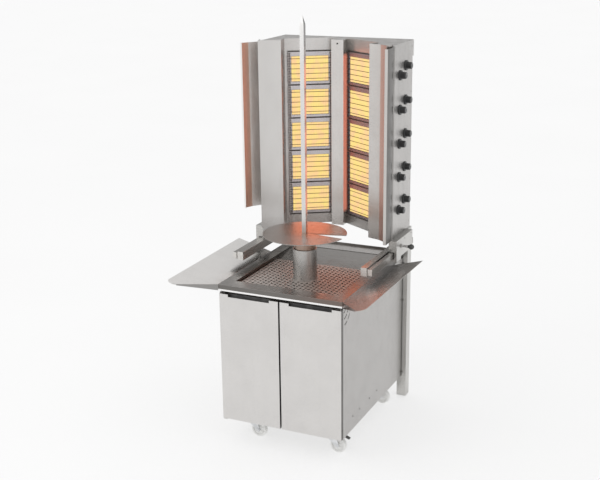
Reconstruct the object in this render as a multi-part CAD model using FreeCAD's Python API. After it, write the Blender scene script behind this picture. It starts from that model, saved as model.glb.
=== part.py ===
import FreeCAD, Part
import math
import os

# Doner kebab grill on a two-door cabinet with casters, in millimetres.
# Origin on the floor under the middle of the overall depth and width.
# +X to the operator's right, +Y to the back, +Z up.

V = FreeCAD.Vector

# Overall sizes
overall_depth = 1004.0
overall_height = 1960.0
wing_span_rear = 966.0
wing_span_front = 950.0
sheet = 2.0
touch_gap = 0.3
run_clear = 0.05

# Cabinet, its doors and their hinges
cab_width = 600.0
cab_depth = 788.0
cab_height = 634.0
door_depth = 20.0
door_clear = 3.0
door_mid_gap = 8.0
door_top_drop = 14.0
door_foot_gap = 1.5
hinge_inset = 6.0
hinge_pin_r = 4.0
hinge_ear = 4.0
hinge_rise = 2.5
ear_length = 54.0
ear_side_gap = 1.0
pull_width = 207.0
pull_drop = 12.0
return_flange = 20.0
rail_height = 30.0
vent_pitch = 30.0
vent_slot = 5.0
vent_low = 10.0
vent_high = 80.0
vent_bridge = 6.0
back_slot_count = 9
back_slot_pitch = 35.0
back_slot_wide = 7.0
back_slot_tall = 56.0
back_slot_rise = 42.0
gland_from_side = 110.0
gland_rise = 300.0
gland_nut_r = 14.0
gland_nut = 6.0
gland_dome_r = 10.0
gland_dome = 12.0
gland_mouth_r = 7.0
gland_bore_r = 4.0

# Rear posts
post_depth = 50.0
post_width = 48.0
post_proud = 25.0
post_foot_z = 6.0
post_head_gap = 16.0
post_wall = 3.0

# Drawer and its runners
drawer_length = 440.0
drawer_height = 70.0
drawer_grip = 60.0
runner_reach = 30.0
runner_rise = 64.0
runner_under_gearbox = 90.0
runner_leg = 24.0
runner_thick = 1.5
runner_set_back = 93.0
runner_length = 350.0

# Tray and its wings
rim_rise = 29.0
tray_overhang = 5.0
upstand = 12.0
hem_width = 12.0
recess_side = 54.0
recess_front = 73.0
recess_depth = 18.0
recess_length = 421.0
ramp_back_gap = 90.0
well_depth = 36.0
well_inset = 26.0
drain_r = 25.0
drain_length = 30.0
drain_from_back = 34.0
wing_rise = 0.274
wing_rear_gap = 244.0
wing_tip_flange = 6.0
wing_corner = 26.0

# Perforated plate
plate_side_gap = 6.0
hole_size = 11.0
hole_step_x = 30.0
hole_step_y = 50.0
hole_columns = 15
hole_rows = 8

# Column, turntable and spit
spit_back = 211.0
column_r = 56.0
column_wall = 4.0
column_cap = 10.0
column_foot_wide = 19.0
column_foot_thick = 4.0
shaft_r = 12.0
shaft_air = 2.0
shaft_seat = 48.0
hub_r = 49.0
hub_gap = 0.5
hub_tall = 68.0
disc_r = 194.0
disc_thick = 3.0
disc_rise = 58.0
slot_low = -6.0
slot_high = 11.0
slot_hub_cut = 5.0
spit_side = 20.0
spit_fit = 0.2
spit_point = 40.0
spit_proud = 146.0
socket_depth = 40.0

# Gear motor
gearbox_size = 110.0
gearbox_height = 80.0
gearbox_corner = 10.0
motor_r = 38.0
motor_length = 130.0

# Slide rails of the burner head
tube_proud = 1.0
tube_wide = 30.0
tube_tall = 40.0
tube_rise = 45.0
tube_wall = 2.5
bar_gap = 5.0
bar_wide = 20.0
bar_tall = 30.0
rail_length = 554.0

# Burner head; each corner of its front is given in from the side and forward from the back
head_proud = 6.0
head_rise = 53.0
head_depth = 263.0
front_upstand = 6.0
mullion_half = 31.0
mullion_forward = 118.0
mullion_depth = 41.0
hook_hole_r = 4.0
hook_hole_drop = 18.0
panel_out_at = (98.0, 204.0)
cheek_in_at = (112.0, 268.0)
cheek_fold_at = (54.0, 286.0)
nose_at = (14.0, 313.0)
hood_depth = 15.0
hood_drop = 75.0
louvre_count = 9
louvre_pitch = 56.0
louvre_long = 28.0
louvre_tall = 17.0
louvre_drop = 36.0

# Burners and their wire guards
burner_count = 5
burner_foot = 131.0
burner_head = 133.4
burner_gap = 11.4
burner_start = 18.0
burner_end = 42.5
burner_deep = 45.0
plaque_margin = 10.0
burner_ledge = 4.0
plaque_inset = 6.0
plaque_thick = 12.0
guard_bars = 5
guard_rod = 2.6
guard_stand = 6.0
guard_frame = 6.0

# Control knobs and gas valves
knob_rear = 91.0
knob_front = 166.0
knob_rise = 26.0
knob_step_z = 36.0
knob_skirt_r = 24.0
knob_skirt = 7.0
knob_grip_r = 14.5
knob_grip = 22.0
knob_face_gap = 1.0
knob_sides = 16
spindle_r = 4.0
spindle_sides = 8
spindle_length = 19.0
spindle_air = 1.0
pipe_in = 64.0
pipe_side = 24.0
valve_side = 30.0
inlet_r = 10.5
inlet_pipe_r = 8.0
inlet_rise = 44.0
inlet_out = 30.0
feed_r = 4.0
feed_sides = 4
feed_side_gap = 9.0
feed_back_gap = 27.0
feed_left_x = 100.0

# Side leaves of the head
leaf_air = 1.0
leaf_ear_grip = 6.0
leaf_pin_r = 1.5
leaf_barrel_r = 3.5
leaf_length = 102.0
leaf_lip = 14.0
leaf_fold_at = 50.0
leaf_fold = 5.0
leaf_angle_left = 31.0
leaf_angle_right = 5.0
leaf_rise_left = 104.0
leaf_rise_right = 4.0
leaf_ear = 3.0

# Carriages under the head and the clamp
carriage_gap = 1.5
carriage_side = 16.0
carriage_forward = 17.0
carriage_length = 222.0
carriage_low = 11.0
carriage_step = 61.0
bush_thick = 16.0
bush_wall = 11.0
clamp_back = 63.0
clamp_over_bar = 20.0
clamp_r = 6.0
clamp_reach = 51.0
clamp_ball_r = 13.0
clamp_collar = 4.0
clamp_collar_long = 6.0
ball_rings = 6
ball_cut = 20.0
pad_thick = 8.0

# Casters
wheel_r = 38.0
wheel_wide = 26.0
hub_proud = 1.5
wheel_hub_r = 15.0
axle_r = 4.0
axle_head_r = 7.0
caster_over = 39.0
caster_in = 97.0
caster_end = 109.0
caster_trail = 38.0
fork_leg = 3.0
fork_gap = 1.5
fork_eye = 9.6
kingpin_r = 6.0
plate_x = 90.0
plate_y = 74.0
plate_thick = 4.0
swivel_r = 27.0
swivel_tall = 11.0
crown_tall = 8.0
pedal_beyond = 17.0
pedal_wide = 14.0
pedal_pivot = 18.0
pedal_pin_r = 3.0
pedal_boss = 5.0
pedal_slot = 10.0
pedal_rise = 2.0
pedal_drop = 14.0
pedal_tread = 18.0
wheel_sides = 28

# Values worked out from the sizes above
rear_y = overall_depth / 2
cab_back = rear_y - post_depth
cab_front = cab_back - cab_depth
cab_mid = (cab_front + cab_back) / 2
cab_half = cab_width / 2
caster_height = 2 * wheel_r + caster_over
cab_top = caster_height + cab_height
body_front = cab_front + door_depth + door_clear
door_back = cab_front + door_depth
door_foot = caster_height + door_foot_gap
door_top = cab_top - door_top_drop
hinge_x = cab_half - hinge_inset
hinge_y = cab_front + door_depth / 2
rim_z = cab_top + rim_rise
tray_half = cab_half + tray_overhang
tray_back = cab_back - 2 * sheet
recess_half = tray_half - recess_side
recess_y0 = cab_front + recess_front
recess_y1 = recess_y0 + recess_length
ramp_y1 = tray_back - ramp_back_gap
plate_z = rim_z - recess_depth
well_z = plate_z - sheet - well_depth
drain_y = recess_y1 - well_inset - drain_from_back
wing_rear_y = cab_back - wing_rear_gap
spit_y = recess_y0 + spit_back
gearbox_top = well_z - sheet
shaft_foot = gearbox_top - shaft_seat
drawer_half = cab_half - sheet - runner_reach
runner_low_z = caster_height + runner_rise
runner_pitch = (gearbox_top - gearbox_height - runner_under_gearbox - runner_low_z) / 2
runner_front_y = body_front + runner_set_back
drawer_z = runner_low_z + 2 * runner_pitch + runner_thick
post_outer_x = cab_half + post_proud
tube_out = post_outer_x + tube_proud
tube_in = tube_out - tube_wide
tube_z = rim_z + tube_rise
rail_front_y = cab_back - rail_length
bar_in = tube_out + bar_gap
bar_out = bar_in + bar_wide
bar_z = tube_z + (tube_tall - bar_tall) / 2
head_half = tube_out + head_proud
head_z = tube_z + tube_tall + head_rise
head_top_z = overall_height - spit_proud
head_front_y = cab_back - head_depth
mullion_y = cab_back - mullion_forward
mullion_back = mullion_y + mullion_depth
post_top_z = head_z - post_head_gap
disc_z = head_z + disc_rise
column_top_z = disc_z - hub_tall
hub_z = column_top_z + hub_gap
panel_vector = (head_half - panel_out_at[0] - mullion_half, cab_back - panel_out_at[1] - mullion_back)
panel_length = math.hypot(panel_vector[0], panel_vector[1])
panel_angle = math.degrees(math.atan2(panel_vector[1], panel_vector[0]))
burner_low_z = head_z + burner_foot
burner_pitch = (head_top_z - burner_head - burner_low_z) / (burner_count - 1)
burner_tall = burner_pitch - burner_gap
pipe_x = head_half - pipe_in
inlet_z = head_z + inlet_rise
carriage_in = tube_out + carriage_gap
carriage_out = bar_out + carriage_side
carriage_front = head_front_y - carriage_forward
carriage_back = carriage_front + carriage_length
clamp_y = carriage_front + clamp_back
clamp_z = bar_z + bar_tall + clamp_over_bar
clamp_ball_x = carriage_out + clamp_reach
caster_x = cab_half - caster_in
caster_y = cab_depth / 2 - caster_end
crown_top = caster_height - plate_thick - touch_gap - swivel_tall
crown_low = crown_top - crown_tall
pedal_z = crown_low + pedal_rise


def box(x0, x1, y0, y1, z0, z1):
    """Box between two opposite corners, given in any order."""
    return Part.makeBox(abs(x1 - x0), abs(y1 - y0), abs(z1 - z0),
                        V(min(x0, x1), min(y0, y1), min(z0, z1)))


def rod(radius, start, axis, length):
    """Round rod from a start point along an axis."""
    return Part.makeCylinder(radius, length, V(*start), V(*axis))


def plan_prism(points, z0, z1):
    """Upright prism on a plan outline."""
    ring = [V(x, y, z0) for x, y in points]
    return Part.Face(Part.makePolygon(ring + ring[:1])).extrude(V(0, 0, z1 - z0))


def side_prism(points, x0, x1):
    """Prism along X on an outline of (y, z) points."""
    ring = [V(x0, y, z) for y, z in points]
    return Part.Face(Part.makePolygon(ring + ring[:1])).extrude(V(x1 - x0, 0, 0))


def front_prism(points, y0, y1):
    """Prism along Y on an outline of (x, z) points."""
    ring = [V(x, y0, z) for x, z in points]
    return Part.Face(Part.makePolygon(ring + ring[:1])).extrude(V(0, y1 - y0, 0))


def faceted(points, sides, start, axis):
    """Solid with flat sides round an axis, through (radius, height) points, its corners on the radii."""
    rings = []
    for radius, height in points:
        turns = [2 * math.pi * i / sides for i in range(sides)]
        rings.append([V(radius * math.cos(a), radius * math.sin(a), height) for a in turns])
    faces = [Part.Face(Part.makePolygon(ring + ring[:1])) for ring in (rings[0], rings[-1])]
    for low, high in zip(rings, rings[1:]):
        for i in range(sides):
            j = (i + 1) % sides
            faces.append(Part.Face(Part.makePolygon([low[i], low[j], high[j], high[i], low[i]])))
    solid = Part.makeSolid(Part.makeShell(faces))
    solid.Placement = FreeCAD.Placement(V(*start), FreeCAD.Rotation(V(0, 0, 1), V(*axis)))
    return solid


def many_sided(radius, sides, start, axis, length):
    """Straight many-sided bar about an axis, its corners on the radius."""
    return faceted([(radius, 0), (radius, length)], sides, start, axis)


def lathe(points, x, y, axis=(0, 0, 1), z=0.0):
    """Turned solid from (radius, height) points about an axis through (x, y, z)."""
    ring = [V(r, 0, h) for r, h in points]
    solid = Part.Face(Part.makePolygon(ring + ring[:1])).revolve(V(0, 0, 0), V(0, 0, 1), 360)
    solid.Placement = FreeCAD.Placement(V(x, y, z), FreeCAD.Rotation(V(0, 0, 1), V(*axis)))
    return solid


def mirrored(shape):
    """The same piece on the other side of the middle plane."""
    return shape.mirror(V(0, 0, 0), V(1, 0, 0))


def group(shapes):
    """Separate solids kept together in one node."""
    return Part.makeCompound(shapes)


def fused(shapes):
    """One solid from several that touch or overlap."""
    return shapes[0].fuse(shapes[1:]).removeSplitter()


def offset_path(points, distance):
    """The same path moved sideways by a distance, with mitred corners."""
    count = len(points)
    normals = []
    for i in range(count - 1):
        dx = points[i + 1][0] - points[i][0]
        dy = points[i + 1][1] - points[i][1]
        length = math.hypot(dx, dy)
        normals.append((-dy / length, dx / length))
    moved = []
    for i in range(count):
        before = normals[max(i - 1, 0)]
        after = normals[min(i, count - 2)]
        nx = before[0] + after[0]
        ny = before[1] + after[1]
        scale = distance / (1 + before[0] * after[0] + before[1] * after[1])
        moved.append((points[i][0] + nx * scale, points[i][1] + ny * scale))
    return moved


def folded(points, thickness, z0, z1):
    """Upright folded sheet: a path in plan with a thickness to its left."""
    return plan_prism(points + offset_path(points, thickness)[::-1], z0, z1)


# Cabinet
def hinge_bore(side, z):
    """Cutter for a door pivot bore that starts at a height."""
    return rod(hinge_pin_r + run_clear, (side * hinge_x, hinge_y, z), (0, 0, 1), 4 * hinge_ear)


def ring_slot(radius, low, high):
    """Curved slot in the right side, round its top front corner, between two angles."""
    def at(r, angle):
        a = math.radians(angle)
        return V(cab_half - 2 * sheet, body_front + r * math.cos(a), cab_top - sheet - r * math.sin(a))
    near = radius - vent_slot / 2
    far = radius + vent_slot / 2
    mid = (low + high) / 2
    edges = [Part.Arc(at(far, low), at(far, mid), at(far, high)).toShape(),
             Part.LineSegment(at(far, high), at(near, high)).toShape(),
             Part.Arc(at(near, high), at(near, mid), at(near, low)).toShape(),
             Part.LineSegment(at(near, low), at(far, low)).toShape()]
    return Part.Face(Part.Wire(edges)).extrude(V(4 * sheet, 0, 0))


def vent_arcs():
    """Cutters for three rings of curved slots: one, two and three slots long."""
    cutters = []
    for ring in range(1, 4):
        span = (vent_high - vent_low + vent_bridge) / ring
        for i in range(ring):
            low = vent_low + i * span
            cutters.append(ring_slot(ring * vent_pitch, low, low + span - vent_bridge))
    return cutters


def cabinet_side(side):
    """Side panel with folded front, top and back flanges and a vent at its front corner."""
    inner = cab_half - sheet
    deep = inner - return_flange
    low = caster_height + sheet
    panel = fused([
        box(inner, cab_half, body_front, cab_back, caster_height, cab_top - sheet),
        box(deep, cab_half, body_front, body_front + sheet, low, cab_top - sheet),
        box(deep, cab_half, cab_back - 2 * sheet, cab_back - sheet, low, cab_top - sheet),
        box(deep, cab_half, body_front, cab_back - sheet, cab_top - 2 * sheet, cab_top - sheet)])
    panel = panel.cut(vent_arcs())
    return panel if side > 0 else mirrored(panel)


def cord_gland(x, z):
    """Gland for the motor's lead: a nut on the back sheet and a tapered cap with a bore."""
    start = (x, cab_back, z)
    nut = many_sided(gland_nut_r, 6, start, (0, 1, 0), gland_nut)
    cap = faceted([(gland_dome_r, 0), (gland_dome_r, gland_nut + gland_dome / 2),
                   (gland_mouth_r, gland_nut + gland_dome)], knob_sides, start, (0, 1, 0))
    return [nut, cap]


def cabinet_back():
    """Flat back sheet with a row of upright vent slots near its foot and the gland of the motor's lead."""
    inner = cab_half - sheet
    back = box(-inner, inner, cab_back - sheet, cab_back, caster_height + sheet, cab_top - sheet)
    slots = []
    low = caster_height + back_slot_rise
    for i in range(back_slot_count):
        x = (i - (back_slot_count - 1) / 2) * back_slot_pitch
        slots.append(box(x - back_slot_wide / 2, x + back_slot_wide / 2,
                         cab_back - 2 * sheet, cab_back + sheet, low, low + back_slot_tall))
    gland_x = gland_from_side - cab_half
    gland_z = caster_height + gland_rise
    back = fused([back.cut(slots)] + cord_gland(gland_x, gland_z))
    bore_length = 4 * sheet + gland_nut + gland_dome
    return back.cut(rod(gland_bore_r, (gland_x, cab_back - 2 * sheet, gland_z), (0, 1, 0), bore_length))


def cabinet_floor():
    """Floor pan with a front lip and the two lower hinge ears."""
    inner = cab_half - sheet
    lip_half = inner - return_flange - sheet
    pieces = [box(-inner, inner, body_front + sheet, cab_back, caster_height, caster_height + sheet),
              box(-lip_half, lip_half, body_front + sheet, body_front + 2 * sheet, caster_height,
                  caster_height + return_flange)]
    ear_front = cab_front + sheet
    for side in (-1, 1):
        ear = box(side * (cab_half - ear_side_gap), side * (hinge_x - 2 * hinge_inset), ear_front,
                  ear_front + ear_length, caster_height - hinge_ear, caster_height)
        pieces.append(ear.cut(hinge_bore(side, caster_height - 2 * hinge_ear)))
    return fused(pieces)


def front_top_rail():
    """Folded rail behind the top of the doors, with the two upper hinge ears."""
    inner = cab_half - sheet
    half = inner - return_flange
    top = cab_top - 2 * sheet
    low = top - rail_height
    pieces = [box(-half, half, body_front, body_front + sheet, low, top),
              box(-half, half, body_front, body_front + rail_height, low, low + sheet)]
    ear_z = door_top + hinge_rise
    for side in (-1, 1):
        ear = box(side * (cab_half - ear_side_gap), side * (half - 2 * hinge_ear), cab_front + 2 * sheet,
                  body_front, ear_z, ear_z + hinge_ear)
        pieces.append(ear.cut(hinge_bore(side, door_top)))
    return fused(pieces)


def door(side):
    """Folded door pan with a sunk finger pull in its top edge and two pivot pins."""
    x0 = door_mid_gap / 2
    x1 = cab_half
    pan = box(x0, x1, cab_front, door_back, door_foot, door_top)
    hollow = box(x0 + sheet, x1 - sheet, cab_front + sheet, door_back, door_foot + sheet, door_top - sheet)
    pan = pan.cut(hollow)
    middle = (x0 + x1) / 2
    a = middle - pull_width / 2
    b = middle + pull_width / 2
    floor_z = door_top - pull_drop
    pocket_back = door_back - sheet
    pan = pan.cut(box(a, b, cab_front, pocket_back, floor_z, door_top))
    pocket = [box(a - sheet, b + sheet, cab_front + sheet, door_back, floor_z - sheet, floor_z),
              box(a - sheet, b + sheet, pocket_back, door_back, floor_z, door_top - sheet),
              box(a - sheet, a, cab_front + sheet, door_back, floor_z, door_top - sheet),
              box(b, b + sheet, cab_front + sheet, door_back, floor_z, door_top - sheet)]
    returns = [box(x0 + sheet, x1 - sheet, pocket_back, door_back, z, z + return_flange)
               for z in (door_foot + sheet, floor_z - sheet - return_flange)]
    top_pin = rod(hinge_pin_r, (hinge_x, hinge_y, door_top - sheet), (0, 0, 1),
                  sheet + hinge_rise + hinge_ear + sheet)
    low_pin = rod(hinge_pin_r, (hinge_x, hinge_y, caster_height - hinge_ear), (0, 0, 1),
                  hinge_ear + door_foot_gap + sheet)
    leaf = fused([pan, top_pin, low_pin] + pocket + returns)
    return leaf if side > 0 else mirrored(leaf)


def drawer_runners():
    """Three pairs of angle runners screwed to the sides."""
    inner = cab_half - sheet
    back_y = runner_front_y + runner_length
    solids = []
    for level in range(3):
        z = runner_low_z + level * runner_pitch
        for side in (-1, 1):
            upright = box(side * inner, side * (inner - runner_thick), runner_front_y, back_y,
                          z - runner_leg / 2, z + runner_leg / 2)
            shelf = box(side * inner, side * (drawer_half + sheet), runner_front_y, back_y,
                        z, z + runner_thick)
            solids.append(fused([upright, shelf]))
    return group(solids)


def grease_drawer():
    """Open pan that hangs by its side rims on the top pair of runners."""
    half = drawer_half
    y0 = runner_front_y - 4 * sheet
    y1 = y0 + drawer_length
    z0 = drawer_z - drawer_height
    body = box(-half, half, y0, y1, z0, drawer_z)
    body = body.cut(box(-half + sheet, half - sheet, y0 + sheet, y1 - sheet, z0 + sheet, drawer_z))
    wide = half + return_flange
    rims = [box(side * (half - sheet), side * wide, y0, y1, drawer_z, drawer_z + sheet)
            for side in (-1, 1)]
    front = box(-wide, wide, y0 - sheet, y0, z0 - sheet, drawer_z + sheet)
    grip = box(-drawer_grip, drawer_grip, y0 - return_flange, y0 - sheet,
               drawer_z, drawer_z + sheet)
    return fused([body, front, grip] + rims)


# Tray
def tray_pan():
    """Folded tray: rim, front flange with hem, recess, ramp, sunk well and drain."""
    t = sheet
    low = rim_z - t
    w = recess_half
    rim = box(-tray_half, tray_half, cab_front, tray_back, low, rim_z)
    rim = rim.cut(box(-w, w, recess_y0, ramp_y1, low - t, rim_z + t))
    flange = box(-tray_half, tray_half, cab_front, cab_front + t, cab_top, rim_z)
    hem = box(-tray_half, tray_half, cab_front, cab_front + hem_width, cab_top, cab_top + t)
    back = box(-tray_half, tray_half, tray_back - t, tray_back, low, rim_z + upstand)
    ledge = box(-w - t, w + t, recess_y0 - t, recess_y1, plate_z - t, plate_z)
    inset = w - well_inset
    well_y0 = recess_y0 + well_inset
    well_y1 = recess_y1 - well_inset
    ledge = ledge.cut(box(-inset, inset, well_y0, well_y1, plate_z - 2 * t, plate_z + t))
    ramp = side_prism([(recess_y1, plate_z - t), (ramp_y1 + t, low), (ramp_y1, rim_z),
                       (recess_y1, plate_z)], -w - t, w + t)
    cheek = side_prism([(recess_y0 - t, plate_z), (recess_y1, plate_z), (ramp_y1, rim_z),
                        (recess_y0 - t, rim_z)], w, w + t)
    lip = box(-w - t, w + t, recess_y0 - t, recess_y0, plate_z, rim_z)
    well = box(-inset - t, inset + t, well_y0 - t, well_y1 + t, well_z - t, plate_z - t)
    well = well.cut(box(-inset, inset, well_y0, well_y1, well_z, plate_z))
    spout_z = well_z - t - drain_length
    spout = rod(drain_r + t, (0, drain_y, spout_z), (0, 0, 1), drain_length)
    drain = rod(drain_r, (0, drain_y, spout_z - t), (0, 0, 1), drain_length + 4 * t)
    shaft_hole = rod(shaft_r + shaft_air, (0, spit_y, well_z - 2 * t), (0, 0, 1), 4 * t)
    feet = []
    for side in (-1, 1):
        outer = cab_half - t
        inner = outer - return_flange
        foot = box(side * outer, side * inner, body_front, cab_back - 2 * t, cab_top - t, low)
        feet.append(foot.cut(box(side * (outer - t), side * inner, body_front, cab_back, cab_top, low)))
    tray = fused([rim, flange, hem, back, ledge, ramp, cheek, mirrored(cheek), lip, well, spout] + feet)
    return tray.cut([drain, shaft_hole])


def tangent_point(point, centre, radius, turn):
    """Point where a line from a point touches a circle, on the side given by turn, +1 or -1."""
    dx = point[0] - centre[0]
    dy = point[1] - centre[1]
    angle = math.atan2(dy, dx) + turn * math.acos(radius / math.hypot(dx, dy))
    return angle, (centre[0] + radius * math.cos(angle), centre[1] + radius * math.sin(angle))


def tray_wing(side):
    """Sloping side wing with a rounded front corner and a tapered front flange."""
    def top_at(x, y):
        return V(x, y, rim_z + (x - tray_half) * wing_rise)

    root = (tray_half, cab_front)
    rear = (wing_span_rear / 2, wing_rear_y)
    centre = (wing_span_front / 2 - wing_corner, wing_corner - rear_y)
    start_angle, start = tangent_point(root, centre, wing_corner, 1)
    end_angle, end = tangent_point(rear, centre, wing_corner, -1)
    mid_angle = (start_angle + end_angle) / 2 + math.pi
    mid = (centre[0] + wing_corner * math.cos(mid_angle), centre[1] + wing_corner * math.sin(mid_angle))
    inner_rear = (tray_half, wing_rear_y)
    edges = [Part.LineSegment(top_at(*root), top_at(*start)).toShape(),
             Part.Arc(top_at(*start), top_at(*mid), top_at(*end)).toShape(),
             Part.LineSegment(top_at(*end), top_at(*rear)).toShape(),
             Part.LineSegment(top_at(*rear), top_at(*inner_rear)).toShape(),
             Part.LineSegment(top_at(*inner_rear), top_at(*root)).toShape()]
    blade = Part.Face(Part.Wire(edges)).extrude(V(0, 0, -sheet))
    corners = [top_at(*root), top_at(*start), top_at(*start) - V(0, 0, wing_tip_flange),
               V(tray_half, cab_front, cab_top)]
    inward = V(root[1] - start[1], start[0] - root[0], 0)
    inward.normalize()
    flange = Part.Face(Part.makePolygon(corners + corners[:1])).extrude(inward * sheet)
    wing = fused([blade, flange])
    return wing if side > 0 else mirrored(wing)


def drip_plate():
    """Loose perforated plate: staggered columns of holes round the spit column."""
    half = recess_half - plate_side_gap
    y0 = recess_y0 + plate_side_gap
    y1 = recess_y1 - plate_side_gap
    middle_y = (y0 + y1) / 2

    def ring(points):
        corners = [V(x, y, plate_z) for x, y in points]
        return Part.makePolygon(corners + corners[:1])

    wires = [ring([(-half, y0), (half, y0), (half, y1), (-half, y1)]),
             Part.Wire(Part.makeCircle(column_r + touch_gap, V(0, spit_y, plate_z)))]
    r = hole_size / math.sqrt(2)
    for i in range(hole_columns):
        x = (i - (hole_columns - 1) / 2) * hole_step_x
        rows = hole_rows - i % 2
        for row in range(rows):
            y = middle_y + (row - (rows - 1) / 2) * hole_step_y
            if math.hypot(x, y - spit_y) > column_r + hole_size:
                wires.append(ring([(x + r, y), (x, y + r), (x - r, y), (x, y - r)]))
    return Part.makeFace(Part.makeCompound(wires), "Part::FaceMakerBullseye").extrude(V(0, 0, sheet))


# Column, turntable and spit
def column():
    """Hollow column with a flanged foot in the well and a bearing plate at its top."""
    bore = shaft_r + run_clear
    inner = column_r - column_wall
    foot_z = well_z + column_foot_thick
    cap_z = column_top_z - column_cap
    foot_r = column_r + column_foot_wide
    outline = [(inner, well_z), (foot_r, well_z), (foot_r, foot_z), (column_r, foot_z),
               (column_r, column_top_z), (bore, column_top_z), (bore, cap_z), (inner, cap_z)]
    return lathe(outline, 0, spit_y)


def gear_motor():
    """Gearbox bolted under the well with its motor lying to the right."""
    half = gearbox_size / 2
    low = gearbox_top - gearbox_height
    case = box(-half, half, spit_y - half, spit_y + half, low, gearbox_top)
    case = case.makeChamfer(gearbox_corner, [e for e in case.Edges
                                             if abs(e.tangentAt(e.FirstParameter).z) > 0.9])
    bore = rod(shaft_r + run_clear, (0, spit_y, shaft_foot), (0, 0, 1), gearbox_height)
    axis_z = low + gearbox_height / 2
    motor = rod(motor_r, (half, spit_y, axis_z), (1, 0, 0), motor_length)
    return fused([case.cut(bore), motor])


def drive_shaft():
    """Shaft with the turntable hub on its head and the square socket of the spit."""
    body = lathe([(0, shaft_foot), (shaft_r, shaft_foot), (shaft_r, hub_z), (hub_r, hub_z),
                  (hub_r, disc_z), (0, disc_z)], 0, spit_y)
    half = spit_side / 2 + spit_fit
    socket = box(-half, half, spit_y - half, spit_y + half, disc_z - socket_depth, disc_z)
    return body.cut(socket)


def spit_disc():
    """Round meat plate with a square hole and one wedge-shaped slot to its rim."""
    disc = rod(disc_r, (0, spit_y, disc_z), (0, 0, 1), disc_thick)
    reach = disc_r + hub_r
    points = [(hub_r - slot_hub_cut, 0)]
    for angle in (slot_low, slot_high):
        a = math.radians(angle)
        points.append((reach * math.cos(a), reach * math.sin(a)))
    low = disc_z - disc_thick
    high = disc_z + 2 * disc_thick
    wedge = plan_prism([(x, y + spit_y) for x, y in points], low, high)
    half = spit_side / 2 + spit_fit
    square = box(-half, half, spit_y - half, spit_y + half, low, high)
    return disc.cut([wedge, square])


def spit_bar():
    """Square bar with a four-sided point."""
    half = spit_side / 2
    foot = disc_z - socket_depth + touch_gap
    shoulder = overall_height - spit_point
    bar = box(-half, half, spit_y - half, spit_y + half, foot, shoulder)
    base = [V(-half, spit_y - half, shoulder), V(half, spit_y - half, shoulder),
            V(half, spit_y + half, shoulder), V(-half, spit_y + half, shoulder)]
    apex = V(0, spit_y, overall_height)
    faces = [Part.Face(Part.makePolygon(base + base[:1]))]
    for i in range(4):
        faces.append(Part.Face(Part.makePolygon([base[i], base[(i + 1) % 4], apex, base[i]])))
    point = Part.makeSolid(Part.makeShell(faces))
    return bar.fuse(point).removeSplitter()


# Frame that carries the head
def rear_post(side):
    """Square tube behind the cabinet, closed at both ends."""
    x0 = post_outer_x - post_width
    w = post_wall
    tube = box(x0, post_outer_x, cab_back, rear_y, post_foot_z, post_top_z)
    core = box(x0 + w, post_outer_x - w, cab_back + w, rear_y - w, post_foot_z + w, post_top_z - w)
    tube = tube.cut(core)
    return tube if side > 0 else mirrored(tube)


def slide_rail(side):
    """Rail tube with closed ends and the narrower guide bar beside it."""
    tube = box(tube_in, tube_out, rail_front_y, cab_back, tube_z, tube_z + tube_tall)
    core = box(tube_in + tube_wall, tube_out - tube_wall, rail_front_y + tube_wall, cab_back - tube_wall,
               tube_z + tube_wall, tube_z + tube_tall - tube_wall)
    tube = tube.cut(core)
    bar = box(bar_in, bar_out, rail_front_y, cab_back, bar_z, bar_z + bar_tall)
    webs = [box(tube_out, bar_in, y, y + 2 * tube_wall, bar_z, bar_z + bar_tall)
            for y in (rail_front_y, cab_back - 2 * tube_wall)]
    rail = fused([tube, bar] + webs)
    return rail if side > 0 else mirrored(rail)


# Burner head
def front_path():
    """Plan path of the right half of the head's front, from the middle outwards."""
    corners = [(head_half - x_in, cab_back - forward)
               for x_in, forward in (panel_out_at, cheek_in_at, cheek_fold_at, nose_at)]
    return [(mullion_half, mullion_back)] + corners + [(head_half, head_front_y)]


def panel_point(along, outward, z):
    """Point on the right burner panel: along it, and out of its face into the cavity."""
    ux = panel_vector[0] / panel_length
    uy = panel_vector[1] / panel_length
    return V(mullion_half + ux * along + uy * outward, mullion_back + uy * along - ux * outward, z)


def panel_box(a0, a1, out0, out1, z0, z1):
    """Box square to the right burner panel."""
    shape = Part.makeBox(a1 - a0, out1 - out0, z1 - z0)
    turn = FreeCAD.Rotation(V(0, 0, 1), panel_angle)
    shape.Placement = FreeCAD.Placement(panel_point(a0, -out0, z0), turn)
    return shape


def burner_middle(row):
    """Height of a burner's middle."""
    return burner_low_z + row * burner_pitch


def burner_span():
    """Start and end of a burner along its panel."""
    return burner_start, panel_length - burner_end


def burner_panel(side):
    """Folded front sheet: burner panel with five openings, return, cheek and nose."""
    skin = folded(front_path(), sheet, head_z, head_top_z + front_upstand)
    a0, a1 = burner_span()
    cuts = []
    for row in range(burner_count):
        z = burner_middle(row)
        cuts.append(panel_box(a0, a1, -3 * sheet, 3 * sheet, z - burner_tall / 2, z + burner_tall / 2))
    skin = skin.cut(cuts)
    return skin if side > 0 else mirrored(skin)


def right_burner(row):
    """Hollow burner box with its ceramic plaque sunk into the front."""
    a0, a1 = burner_span()
    z = burner_middle(row)
    fit = touch_gap
    m = plaque_margin
    half = burner_tall / 2
    plaque_back = plaque_inset + plaque_thick
    case = panel_box(a0 + fit, a1 - fit, 0, burner_deep, z - half + fit, z + half - fit)
    pocket = panel_box(a0 + m, a1 - m, 0, plaque_back, z - half + m, z + half - m)
    m += burner_ledge
    chamber = panel_box(a0 + m, a1 - m, plaque_back, burner_deep - sheet, z - half + m, z + half - m)
    m = plaque_margin
    plaque = panel_box(a0 + m, a1 - m, plaque_inset, plaque_back, z - half + m, z + half - m)
    return case.cut([pocket, chamber]), plaque


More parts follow.
